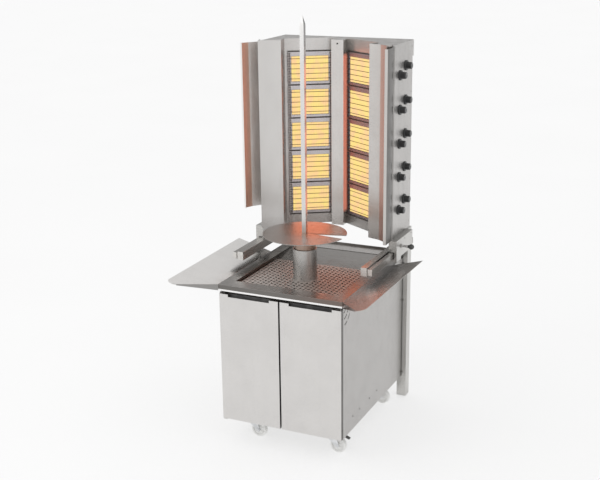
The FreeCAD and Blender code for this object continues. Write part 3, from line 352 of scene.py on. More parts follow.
@dataclass(frozen=True)
class Steel:
    """Stainless steel, ground one way or turned, with rubbed edges, wiping marks, painted shade and a painted orange
    glow from the burners.
    """

    name: str
    colour: Triple = (0.66, 0.65, 0.635)
    roughness: float = 0.34
    grain: Grain = Grain.UPRIGHT
    wear: float = 0.35
    film: float = 0.08
    # Painted burner glow: an orange tint that stands in for the burners' light and its reflection on the steel.
    painted_glow: float = 0.0
    painted_glow_colour: Triple = (0.56, 0.33, 0.24)
    painted_glow_line: Triple = (0.0, 0.3, 0.0)
    painted_glow_near: float = 0.12
    painted_glow_far: float = 0.34
    painted_glow_waver: float = 0.05
    painted_glow_way: Optional[Triple] = None
    painted_glow_floor: float = 0.0
    painted_glow_top: float = 0.0
    painted_glow_emission: float = 0.0
    # Painted shade under the perforated plate.
    under_plate_shade: float = 0.0
    under_plate_shade_top: float = 0.0
    centre: Triple = (0.0, -0.052, 0.0)
    # Strength and reach of the painted shade in corners and under ledges.
    corner_shade: float = 0.3
    corner_shade_reach: float = 0.08
    # Painted shade on faces that look one way, and on the faces that look towards a second way.
    painted_shade_way: Triple = (0.0, -1.0, 0.0)
    painted_shade_side: Optional[Triple] = None
    painted_shade: float = 0.0
    painted_shade_colour: Triple = (0.06, 0.055, 0.05)
    both_ways: bool = False

    def material(self) -> bpy.types.Material:
        """Material of this steel."""
        made, shade, shader, fresh = principled(self.name)
        if not fresh:
            return made
        if self.grain is Grain.TURNED:
            lines = shade.effect(EFFECTS.rings, Centre=self.centre)
        else:
            lines = shade.effect(EFFECTS.grain, Stretch=self.grain.value)
        marks = shade.effect(EFFECTS.smudges)
        worn = shade.effect(EFFECTS.wear)
        ground = shade.mix(lines.outputs["Line"], scaled(self.colour, 0.965), scaled(self.colour, 1.03))
        banded = shade.mix(shade.math("MULTIPLY", lines.outputs["Band"], 0.2), ground, scaled(self.colour, 0.93))
        dull = shade.math("MULTIPLY", marks.outputs["Film"], self.film * 2)
        colour = shade.mix(dull, banded, scaled(self.colour, 0.72))
        # Painted burner glow: the tint is strongest near an upright line and can be kept to faces that look one way
        # or to a band of heights; with emission the steel glows too.
        if self.painted_glow:
            warm = shade.effect(EFFECTS.painted_glow, Line=self.painted_glow_line, Near=self.painted_glow_near, Far=self.painted_glow_far,
                                Waver=self.painted_glow_waver)
            share = shade.math("MULTIPLY", warm.outputs["Mask"], self.painted_glow)
            if self.painted_glow_way:
                shown = shade.effect(EFFECTS.facing, Way=self.painted_glow_way)
                share = shade.math("MULTIPLY", share, shown.outputs["Mask"])
            if self.painted_glow_floor:
                level = self.height(shade)
                share = shade.math("MULTIPLY", share, shade.remap(level, self.painted_glow_floor, self.painted_glow_floor + 0.02))
                share = shade.math("MULTIPLY", share, shade.remap(level, self.painted_glow_top, self.painted_glow_top - 0.02))
            colour = shade.mix(share, colour, self.painted_glow_colour)
            if self.painted_glow_emission:
                shade.feed(shader.inputs["Emission Color"], shade.mix(share, (0.0, 0.0, 0.0), self.painted_glow_colour))
                shader.inputs["Emission Strength"].default_value = self.painted_glow_emission
        # Painted shade: upward faces lower than the plate's underside are darkened almost to black, as shade under
        # the plate.
        if self.under_plate_shade:
            upward = shade.effect(EFFECTS.facing, Way=(0.0, 0.0, 1.0))
            sunk = shade.remap(self.height(shade), self.under_plate_shade_top, self.under_plate_shade_top - 0.002)
            share = shade.math("MULTIPLY", shade.math("MULTIPLY", upward.outputs["Mask"], sunk), self.under_plate_shade)
            colour = shade.mix(share, colour, (0.03, 0.025, 0.02))
        # Painted shade: faces that look one way, or both ways along it, are darkened.
        if self.painted_shade:
            turned = shade.effect(EFFECTS.facing, Way=self.painted_shade_way)
            looks = turned.outputs["Either" if self.both_ways else "Mask"]
            colour = shade.mix(shade.math("MULTIPLY", looks, self.painted_shade), colour, self.painted_shade_colour)
        # Painted shade on the faces that look towards the second way.
        if self.painted_shade_side:
            turned = shade.effect(EFFECTS.facing, Way=self.painted_shade_side)
            colour = shade.mix(shade.math("MULTIPLY", turned.outputs["Mask"], 0.85), colour, self.painted_shade_colour)
        rubbed = shade.math("MULTIPLY", worn.outputs["Mask"], self.wear)
        colour = shade.mix(rubbed, colour, (0.9, 0.89, 0.87))
        # Painted shade: corners, recesses and faces under ledges are darkened towards near black where ambient
        # occlusion finds them closed in.
        cornered = shade.effect(EFFECTS.corner_shade, Reach=self.corner_shade_reach)
        shade.feed(shader.inputs["Base Color"],
                   shade.mix(shade.math("MULTIPLY", cornered.outputs["Mask"], self.corner_shade), colour, (0.05, 0.045, 0.04)))
        rough = shade.math("ADD", shade.math("MULTIPLY", lines.outputs["Line"], 0.05), self.roughness - 0.025)
        rough = shade.math("ADD", rough, shade.math("MULTIPLY", marks.outputs["Wipe"], self.film))
        shade.feed(shader.inputs["Roughness"], shade.math("SUBTRACT", rough, shade.math("MULTIPLY", rubbed, 0.12)))
        shader.inputs["Metallic"].default_value = 1.0
        bump(shade, shader, lines.outputs["Line"], 0.00001, 0.15)
        return made

    @staticmethod
    def height(shade: Shading) -> Socket:
        """Height of a place on the piece."""
        split = shade.add("ShaderNodeSeparateXYZ")
        shade.feed(split.inputs[0], shade.place())
        return split.outputs[2]


@dataclass(frozen=True)
class Moulded:
    """Plastic, rubber or enamel: an even colour with a fine speckle, and paler rubbed edges."""

    name: str
    colour: Triple
    edge: Triple
    roughness: float = 0.45
    speck: float = 0.00004
    dust: float = 0.15
    dust_colour: Triple = (0.42, 0.41, 0.39)
    coat: float = 0.0

    def material(self) -> bpy.types.Material:
        """Material of this moulding."""
        made, shade, shader, fresh = principled(self.name)
        if not fresh:
            return made
        grit = shade.effect(EFFECTS.grit)
        worn = shade.effect(EFFECTS.wear, Width=0.0008)
        body = shade.mix(grit.outputs["Speck"], scaled(self.colour, 0.9), scaled(self.colour, 1.1))
        dusty = shade.mix(shade.math("MULTIPLY", grit.outputs["Cloud"], self.dust), body, self.dust_colour)
        shade.feed(shader.inputs["Base Color"],
                   shade.mix(shade.math("MULTIPLY", worn.outputs["Mask"], 0.6), dusty, self.edge))
        shade.feed(shader.inputs["Roughness"],
                   shade.math("ADD", shade.math("MULTIPLY", grit.outputs["Cloud"], 0.14), self.roughness - 0.05))
        shader.inputs["Coat Weight"].default_value = self.coat
        bump(shade, shader, grit.outputs["Speck"], self.speck)
        return made


@dataclass(frozen=True)
class Plated:
    """Zinc plating: bright and a little cloudy, with a fine speckle."""

    name: str
    colour: Triple = (0.74, 0.75, 0.76)
    roughness: float = 0.3

    def material(self) -> bpy.types.Material:
        """Material of this plating."""
        made, shade, shader, fresh = principled(self.name)
        if not fresh:
            return made
        grit = shade.effect(EFFECTS.grit, Size=600.0)
        worn = shade.effect(EFFECTS.wear, Width=0.0008)
        cloud = shade.mix(grit.outputs["Cloud"], scaled(self.colour, 0.82), scaled(self.colour, 1.08))
        shade.feed(shader.inputs["Base Color"],
                   shade.mix(shade.math("MULTIPLY", worn.outputs["Mask"], 0.5), cloud, (0.92, 0.92, 0.92)))
        shade.feed(shader.inputs["Roughness"],
                   shade.math("ADD", shade.math("MULTIPLY", grit.outputs["Speck"], 0.12), self.roughness))
        shader.inputs["Metallic"].default_value = 1.0
        bump(shade, shader, grit.outputs["Speck"], 0.00003)
        return made


@dataclass(frozen=True)
class GlowingCeramic:
    """Lit ceramic plaque: fine holes in rows, glowing straw yellow with hotter and cooler patches."""

    name: str
    hot: Triple = (1.0, 0.78, 0.20)
    warm: Triple = (1.0, 0.62, 0.29)
    body: Triple = (0.24, 0.17, 0.10)
    strength: float = 0.88
    hole_pitch: float = 0.0046
    joint_pitch: float = 0.0115

    def material(self) -> bpy.types.Material:
        """Material of the lit plaque."""
        made, shade, shader, fresh = principled(self.name)
        if not fresh:
            return made
        split = shade.add("ShaderNodeSeparateXYZ")
        shade.feed(split.inputs[0], shade.place())
        across = shade.math("MULTIPLY", split.outputs[0], 1.0 / PANEL.along.x)
        dots = [self.wave(shade, value, self.hole_pitch) for value in (across, split.outputs[2])]
        hole = shade.remap(shade.math("MULTIPLY", *dots), 0.25, 0.6)
        seam = shade.remap(self.wave(shade, across, self.joint_pitch), 0.93, 1.0)
        patch = shade.remap(shade.noise(shade.place(), 26.0, 3.0, 0.6), 0.35, 0.66)
        glow = shade.mix(patch, self.hot, self.warm)
        glow = shade.mix(shade.math("MULTIPLY", hole, 0.35), glow, (1.0, 0.95, 0.62))
        glow = shade.mix(shade.math("MULTIPLY", seam, 0.5), glow, (0.8, 0.42, 0.16))
        shade.feed(shader.inputs["Emission Color"], glow)
        shader.inputs["Emission Strength"].default_value = self.strength
        shade.feed(shader.inputs["Base Color"], shade.mix(hole, self.body, scaled(self.body, 0.35)))
        shader.inputs["Roughness"].default_value = 0.85
        bump(shade, shader, shade.math("SUBTRACT", 1.0, hole), 0.0006)
        return made

    @staticmethod
    def wave(shade: Shading, value: Socket, pitch: float) -> Socket:
        """Wave from 0 to 1 that repeats at a pitch along a value."""
        turned = shade.math("COSINE", shade.math("MULTIPLY", value, 2 * math.pi / pitch))
        return shade.math("ADD", shade.math("MULTIPLY", turned, 0.5), 0.5)


Finish = Union[Steel, Moulded, Plated, GlowingCeramic]
PLATE_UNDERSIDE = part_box("drip_plate")[0].z

# Painted shade: the faces of the cabinet and the doors that look along X are darkened.
CABINET = Steel("cabinet_steel", (0.68, 0.665, 0.65), 0.36, painted_shade_way=(1.0, 0.0, 0.0), painted_shade=0.27)
DOOR = Steel("door_steel", (0.68, 0.665, 0.65), 0.36, painted_shade_way=(1.0, 0.0, 0.0), painted_shade=0.85, both_ways=True)
CABINET_FLAT = Steel("cabinet_steel_across", (0.66, 0.65, 0.635), 0.36, Grain.ACROSS)
SHADED_RAIL = Steel("shaded_rail_steel", (0.06, 0.055, 0.05), 0.5, Grain.ACROSS)
# Painted highlight: near-white steel for the lit lip along the tray's front.
HEM_HIGHLIGHT = Steel("hem_highlight_steel", (0.92, 0.91, 0.90), 0.30, Grain.ACROSS, corner_shade=0.0)
# The tray, its wings and its back rim are one steel in lit and shaded copies: the base colours paint the light and
# shade on each, and the tray and right wing also carry painted burner glow.
TRAY = Steel("tray_steel", (0.38, 0.362, 0.345), 0.27, Grain.ACROSS, film=0.10, corner_shade=0.36, painted_shade=0.62, painted_shade_side=(1.0, 0.0, 0.0),
             under_plate_shade=0.9, under_plate_shade_top=PLATE_UNDERSIDE, painted_glow=0.55, painted_glow_colour=(0.44, 0.26, 0.20),
             painted_glow_line=(0.26, -0.24, 0.0), painted_glow_near=0.06, painted_glow_far=0.30)
WING_LEFT = Steel("left_wing_steel", (0.70, 0.685, 0.67), 0.27, Grain.ACROSS, film=0.05, corner_shade=0.12, corner_shade_reach=0.14,
                  painted_shade_way=(0.8, -0.6, 0.0), painted_shade=0.6)
WING_RIGHT = Steel("right_wing_steel", (0.50, 0.47, 0.45), 0.30, Grain.ACROSS, film=0.05, corner_shade=0.5,
                   corner_shade_reach=0.14, painted_shade_way=(-0.8, -0.6, 0.0), painted_shade=0.6, painted_glow=0.6,
                   painted_glow_colour=(0.46, 0.25, 0.19), painted_glow_line=(0.34, -0.46, 0.0), painted_glow_near=0.08, painted_glow_far=0.34)
# Painted shade: the walls of the plate's holes that look along one way, or the opposite way, are darkened almost to
# black.
PLATE = Steel("plate_steel", (0.66, 0.62, 0.59), 0.55, Grain.ACROSS, film=0.06, wear=0.0, corner_shade=0.1,
              painted_shade_way=(0.42, -0.906, 0.0), painted_shade=0.97, both_ways=True, painted_glow=0.65,
              painted_glow_colour=(0.52, 0.33, 0.26), painted_glow_line=(0.20, -0.10, 0.0), painted_glow_near=0.06, painted_glow_far=0.30)
# Lit copy of the tray steel, laid on the back rim as painted light.
BACK_RIM = Steel("back_rim_steel", (0.62, 0.60, 0.58), 0.36, Grain.ACROSS, corner_shade=0.1)
INNER = Steel("inner_steel", (0.58, 0.58, 0.57), 0.4, Grain.DEEP)
POST = Steel("post_steel", (0.62, 0.61, 0.59), 0.34)
RAIL = Steel("rail_steel", (0.42, 0.405, 0.385), 0.32, Grain.DEEP)
RAIL_CAP = Steel("rail_cap_steel", (0.74, 0.73, 0.71), 0.34)
CARRIAGE = Steel("carriage_steel", (0.62, 0.61, 0.59), 0.34, Grain.DEEP)
COLUMN = Steel("column_steel", (0.52, 0.51, 0.495), 0.34, Grain.TURNED)
# Painted burner glow: the orange tint on the disc, hub and spit stands in for the burners' reflected light.
TURNTABLE = Steel("turntable_steel", (0.36, 0.335, 0.315), 0.34, Grain.TURNED, painted_glow=1.0,
                  painted_glow_colour=(0.44, 0.25, 0.165), painted_glow_line=(0.02, 0.02, 0.0), painted_glow_near=0.06, painted_glow_far=0.22)
SPIT = Steel("spit_steel", (0.70, 0.69, 0.68), 0.28, painted_glow=0.3, painted_glow_line=(0.02, -0.03, 0.0),
             painted_glow_near=0.0, painted_glow_far=0.05)
HEAD = Steel("head_steel", (0.64, 0.625, 0.61), 0.36, painted_shade_way=(1.0, 0.0, 0.0), painted_shade=0.12)
HEAD_FLAT = Steel("head_steel_across", (0.64, 0.625, 0.61), 0.36, Grain.ACROSS)
# Painted burner glow on the mullion's side: an orange tint that also emits light, though the mullion is no lamp.
MULLION = Steel("mullion_steel", (0.64, 0.62, 0.60), 0.33, painted_glow=0.8, painted_glow_colour=(0.98, 0.40, 0.28), painted_glow_emission=0.42,
                painted_glow_line=(0.03, 0.33, 0.0), painted_glow_near=0.4, painted_glow_far=0.6, painted_glow_way=(1.0, 0.0, 0.0),
                painted_glow_floor=0.975, painted_glow_top=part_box("guard_grids")[1].z, corner_shade=0.0)
PANEL_LEFT = Steel("left_panel_steel", (0.64, 0.625, 0.61), 0.33)
# Painted burner glow on a narrow strip of the right panel, where the burners' light falls.
PANEL_RIGHT = Steel("right_panel_steel", (0.62, 0.60, 0.58), 0.33, painted_glow=0.75, painted_glow_colour=(0.50, 0.27, 0.21),
                    painted_glow_line=(0.298, 0.150, 0.0), painted_glow_near=0.018, painted_glow_far=0.028, painted_glow_waver=0.002)
# Lit and shaded copies of one leaf steel: the left leaf is painted lighter, with painted burner glow on its inner
# face, and the right one darker, with painted shade on its outer face.
LEAF_LEFT = Steel("left_leaf_steel", (0.88, 0.86, 0.84), 0.36, painted_glow=0.8, painted_glow_colour=(0.66, 0.36, 0.24),
                  painted_glow_line=(-0.376, 0.118, 0.0), painted_glow_near=0.020, painted_glow_far=0.028, painted_glow_waver=0.002,
                  painted_glow_way=(0.86, -0.51, 0.0), corner_shade=0.1)
LEAF_RIGHT = Steel("right_leaf_steel", (0.60, 0.58, 0.56), 0.30, painted_shade_way=(1.0, 0.0, 0.0), painted_shade=0.85)
# Lit and shaded copies of one rim steel: the right panel's rims are painted darker, as painted shade.
FRAME_RIM = Steel("burner_rim_steel", (0.58, 0.56, 0.57), 0.38, corner_shade=0.0)
RIGHT_RIM = Steel("right_rim_steel", (0.34, 0.31, 0.32), 0.42, corner_shade=0.0)
GUARD_WIRE = Steel("guard_wire_steel", (0.09, 0.065, 0.045), 0.5, wear=0.0, corner_shade=0.0)
GUARD_STRAP = Steel("guard_strap_steel", (0.17, 0.15, 0.14), 0.5, wear=0.2, corner_shade=0.0)
# Painted shadow for the shaded gap behind the guard's rungs.
GUARD_SHADE = Steel("painted_guard_shade", (0.27, 0.245, 0.24), 0.5, wear=0.0, corner_shade=0.0)
# Painted shadow: near-black steel for strips laid where only shade falls, in the gaps between burners, at the tray's
# crease and along the lip of the disc's slot.
SHADOW_STRIP = Steel("painted_shadow_strip", (0.08, 0.07, 0.065), 0.5, wear=0.0, corner_shade=0.0)
GUARD_RUNG = Steel("guard_rung_steel", (0.62, 0.58, 0.55), 0.4, wear=0.0, corner_shade=0.0)
GAS_PIPE = Steel("gas_pipe_steel", (0.45, 0.44, 0.42), 0.42)
SCREW = Steel("screw_steel", (0.60, 0.59, 0.58), 0.28, Grain.ACROSS)
DARK_SCREW = Steel("screw_recess_steel", (0.22, 0.215, 0.21), 0.4, Grain.ACROSS)
BLACK = Moulded("black_plastic", (0.018, 0.018, 0.019), (0.10, 0.10, 0.10), 0.38)
KNOB_BLACK = Moulded("knob_plastic", (0.010, 0.010, 0.011), (0.07, 0.07, 0.07), 0.30, dust=0.02, coat=0.2)
MARK_WHITE = Moulded("pointer_paint", (0.8, 0.8, 0.78), (0.9, 0.9, 0.9), 0.5, dust=0.1)
NYLON = Moulded("wheel_nylon", (0.80, 0.80, 0.785), (0.9, 0.9, 0.89), 0.36, dust=0.22,
                dust_colour=(0.55, 0.54, 0.52))
PEDAL = Moulded("pedal_plastic", (0.02, 0.02, 0.02), (0.11, 0.11, 0.11), 0.42)
ENAMEL = Moulded("motor_paint", (0.17, 0.19, 0.215), (0.5, 0.5, 0.5), 0.34, 0.0001, coat=0.3)
ZINC = Plated("zinc_plate")
CERAMIC = GlowingCeramic("lit_ceramic")


# Mesh making
def stand_at(origin: Iterable[float], axis: Vector, side: Optional[Vector] = None) -> Matrix:
    """Matrix of a place whose own Z runs along an axis.

    Args:
        origin: The place.
        axis: Direction of its Z.
        side: Direction that its X leans to, by default up or, for an upright axis, along X.

    Returns:
        The matrix.
    """
    z = Vector(axis).normalized()
    lean = side if side is not None else (X_AXIS if abs(z.z) > 0.9 else Z_AXIS)
    y = z.cross(lean).normalized()
    x = y.cross(z)
    matrix = Matrix((x, y, z)).transposed().to_4x4()
    matrix.translation = Vector(origin)
    return matrix


def arc_points(centre: Pair, radius: float, start: float, end: float, count: int) -> list[Pair]:
    """Points on an arc, with its angles in degrees."""
    turns = [math.radians(start + (end - start) * i / (count - 1)) for i in range(count)]
    return [(centre[0] + radius * math.cos(a), centre[1] + radius * math.sin(a)) for a in turns]


class Form:
    """One piece in the making: closed shapes that end up in a single mesh."""

    def __init__(self) -> None:
        """Start with an empty mesh."""
        self.mesh = bmesh.new()

    def skin(self, rings: Sequence[Sequence[Vector]], close_ends: bool = True, loop: bool = False) -> "Form":
        """Lay faces between rings of as many points each.

        Args:
            rings: The rings, in order.
            close_ends: Whether the first and last ring get a face.
            loop: Whether the last ring joins the first.

        Returns:
            This form.
        """
        rows = [[self.mesh.verts.new(point) for point in ring] for ring in rings]
        pairs = list(zip(rows, rows[1:])) + ([(rows[-1], rows[0])] if loop else [])
        for low, high in pairs:
            for i in range(len(low)):
                j = (i + 1) % len(low)
                self.mesh.faces.new((low[i], low[j], high[j], high[i]))
        if close_ends and not loop:
            self.mesh.faces.new(rows[0][::-1])
            self.mesh.faces.new(rows[-1])
        return self

    def box(self, low: Iterable[float], high: Iterable[float], place: Matrix = Matrix()) -> "Form":
        """Add a box between two corners of a place."""
        (x0, y0, z0), (x1, y1, z1) = low, high
        corners = [(x0, y0), (x1, y0), (x1, y1), (x0, y1)]
        return self.skin([[place @ Vector((x, y, z)) for x, y in corners] for z in (z0, z1)])

    def prism(self, outline: Sequence[Pair], depth: float, place: Matrix) -> "Form":
        """Add an outline in a place's XY, drawn out along its Z."""
        return self.skin([[place @ Vector((x, y, z)) for x, y in outline] for z in (0.0, depth)])

    def turned(self, profile: Sequence[Pair], place: Matrix, sides: int = 28, bored: bool = False) -> "Form":
        """Turn (radius, height) points round a place's Z.

        Args:
            profile: The points, from one end to the other.
            place: Where the turned shape stands.
            sides: Number of sides round it.
            bored: Whether the last point joins the first, round a bore.

        Returns:
            This form.
        """
        turns = [2 * math.pi * i / sides for i in range(sides)]
        rings = [[place @ Vector((r * math.cos(a), r * math.sin(a), h)) for a in turns] for r, h in profile]
        return self.skin(rings, loop=bored)

    def tube(self, path: Sequence[Vector], radius: float, sides: int = 8) -> "Form":
        """Draw a round section along a path."""
        rings = []
        last = len(path) - 1
        lean = None
        for i, point in enumerate(path):
            ahead = (path[min(i + 1, last)] - path[max(i - 1, 0)]).normalized()
            if lean is None:
                lean = Z_AXIS if abs(ahead.z) < 0.9 else X_AXIS
            side = ahead.cross(lean).normalized()
            lean = side.cross(ahead)
            turns = [2 * math.pi * k / sides for k in range(sides)]
            rings.append([point + (side * math.cos(a) + lean * math.sin(a)) * radius for a in turns])
        return self.skin(rings)

    def screw(self, place: Matrix, radius: float, height: float) -> "Form":
        """Add a domed screw head with a six-sided recess."""
        recess = radius * 0.46
        dome = [(radius, 0.0), (radius, height * 0.3), (radius * 0.86, height * 0.72), (recess, height),
                (recess * 0.96, height * 0.45), (recess * 0.2, height * 0.4)]
        return self.turned(dome, place, 12)

    def bolt(self, place: Matrix, across: float, height: float) -> "Form":
        """Add a washer with a six-sided bolt head on it."""
        self.turned([(across * 1.05, 0.0), (across * 1.05, height * 0.22), (across * 0.95, height * 0.28)], place, 20)
        flats = [(across * 0.8, height * 0.28), (across * 0.8, height * 0.9), (across * 0.66, height)]
        return self.turned(flats, place, 6)

    def piece(self, name: str, body: str, finish: Finish, slot: str, stands_for: Sequence[str] = (),
              edge: float = 0.0) -> bpy.types.Object:
        """Finish the piece and hand it to the frame.

        Args:
            name: The piece's name.
            body: The body that it rides on.
            finish: What it is made of.
            slot: The record's material slot; not used.
            stands_for: Nodes that it is shown in place of.
            edge: Width of its broken edges, or 0 for none.

        Returns:
            The piece.
        """
        bmesh.ops.recalc_face_normals(self.mesh, faces=self.mesh.faces[:])
        for face in self.mesh.faces:
            face.smooth = True
        for line in self.mesh.edges:
            line.smooth = len(line.link_faces) == 2 and line.calc_face_angle(0.0) < SOFT_EDGE_ANGLE
        data = bpy.data.meshes.new(name)
        self.mesh.to_mesh(data)
        self.mesh.free()
        made = bpy.data.objects.new(name, data)
        bpy.context.scene.collection.objects.link(made)
        data.materials.append(finish.material())
        if edge:
            break_edges(made, edge)
        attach(made, body)
        if stands_for:
            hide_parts(*stands_for)
        LOG.info("%s rides on %s", name, body)
        return made


def break_edges(made: bpy.types.Object, width: float) -> None:
    """Break a piece's sharp edges with a small two-step bevel."""
    bevel = made.modifiers.new("broken_edges", "BEVEL")
    bevel.width = width
    bevel.segments = 2
    bevel.limit_method = "ANGLE"
    bevel.angle_limit = SOFT_EDGE_ANGLE
    bevel.harden_normals = True


def smooth_group() -> bpy.types.NodeTree:
    """Geometry nodes that close a sheet's split corners and shade its curved faces smooth."""
    tree = bpy.data.node_groups.new("closed_and_smooth", "GeometryNodeTree")
    tree.interface.new_socket(name="Geometry", in_out="INPUT", socket_type="NodeSocketGeometry")
    tree.interface.new_socket(name="Geometry", in_out="OUTPUT", socket_type="NodeSocketGeometry")
    nodes = tree.nodes
    start = nodes.new("NodeGroupInput")
    end = nodes.new("NodeGroupOutput")
    weld = nodes.new("GeometryNodeMergeByDistance")
    weld.inputs["Distance"].default_value = WELD_REACH
    clear = nodes.new("GeometryNodeRemoveAttribute")
    clear.inputs["Name"].default_value = "custom_normal"
    faces = nodes.new("GeometryNodeSetShadeSmooth")
    faces.domain = "FACE"
    edges = nodes.new("GeometryNodeSetShadeSmooth")
    edges.domain = "EDGE"
    angle = nodes.new("GeometryNodeInputMeshEdgeAngle")
    soft = nodes.new("FunctionNodeCompare")
    soft.operation = "LESS_THAN"
    soft.inputs[1].default_value = SOFT_EDGE_ANGLE
    links = tree.links
    links.new(start.outputs[0], weld.inputs["Geometry"])
    links.new(weld.outputs[0], clear.inputs["Geometry"])
    links.new(clear.outputs[0], faces.inputs["Geometry"])
    links.new(faces.outputs[0], edges.inputs["Geometry"])
    links.new(angle.outputs[0], soft.inputs[0])
    links.new(soft.outputs[0], edges.inputs["Shade Smooth"])
    links.new(edges.outputs[0], end.inputs[0])
    return tree


@dataclass
class SheetWork:
    """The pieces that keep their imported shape: each gets its steel and broken edges."""

    sheet_edge: float = 0.0005
    bar_edge: float = 0.0008

    def finishes(self) -> dict[str, Finish]:
        """Finish of each kept node by name."""
        chosen: dict[str, Finish] = {
            "cabinet_back": CABINET, "cabinet_floor": CABINET_FLAT, "front_top_rail": SHADED_RAIL,
            "drawer_runners": INNER, "grease_drawer": INNER, "tray_pan": TRAY, "column": COLUMN,
            "drive_shaft": TURNTABLE, "spit_disc": TURNTABLE, "spit_bar": SPIT, "head_back": HEAD,
            "head_top": HEAD_FLAT, "head_bottom": HEAD_FLAT, "centre_mullion": MULLION,
            "gas_train": GAS_PIPE, "caster_plates": ZINC, "tray_wing_left": WING_LEFT,
            "tray_wing_right": WING_RIGHT, "burner_panel_left": PANEL_LEFT, "burner_panel_right": PANEL_RIGHT,
            "side_leaf_left": LEAF_LEFT, "side_leaf_right": LEAF_RIGHT}
        for side in SIDE_NAMES.values():
            chosen.update({
                f"cabinet_{side}_side": CABINET, f"door_{side}": DOOR, f"rear_post_{side}": POST,
                f"rail_{side}": RAIL, f"head_{side}_side": HEAD, f"carriage_{side}": CARRIAGE})
        return chosen

    def dress(self) -> None:
        """Give every kept node its finish and its broken edges."""
        smooth = smooth_group()
        for name, finish in self.finishes().items():
            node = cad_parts[name]
            node.data.materials.clear()
            node.data.materials.append(finish.material())
            node.modifiers.new("closed_and_smooth", "NODES").node_group = smooth
            bars = ("rail_left", "rail_right", "spit_bar", "rear_post_left", "rear_post_right")
            break_edges(node, self.bar_edge if name in bars else self.sheet_edge)
            LOG.info("%s is dressed in %s", name, finish.name)


# The two burner panels and what is set into them
@dataclass
class Panel:
    """Where a burner panel lies: its root beside the mullion and its far edge, right side given."""

    root: Vector
    far: Vector

    @property
    def along(self) -> Vector:
        """Direction from the root to the far edge."""
        return (self.far - self.root).normalized()

    @property
    def outward(self) -> Vector:
        """Direction out of the panel's face, towards the spit."""
        return Vector((self.along.y, -self.along.x, 0.0))

    def spot(self, side: int, along: float, out: float, z: float) -> Vector:
        """Point on a panel.

        Args:
            side: -1 for the left panel, 1 for the right one.
            along: Distance from the root.
            out: Distance out of the face.
            z: Height.

        Returns:
            The point.
        """
        point = self.root + self.along * along + self.outward * out
        return Vector((side * point.x, point.y, z))


MULLION_LOW, MULLION_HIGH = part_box("centre_mullion")
PANEL = Panel(Vector((MULLION_HIGH.x, MULLION_HIGH.y, 0.0)), Vector((0.234, 0.248, 0.0)))


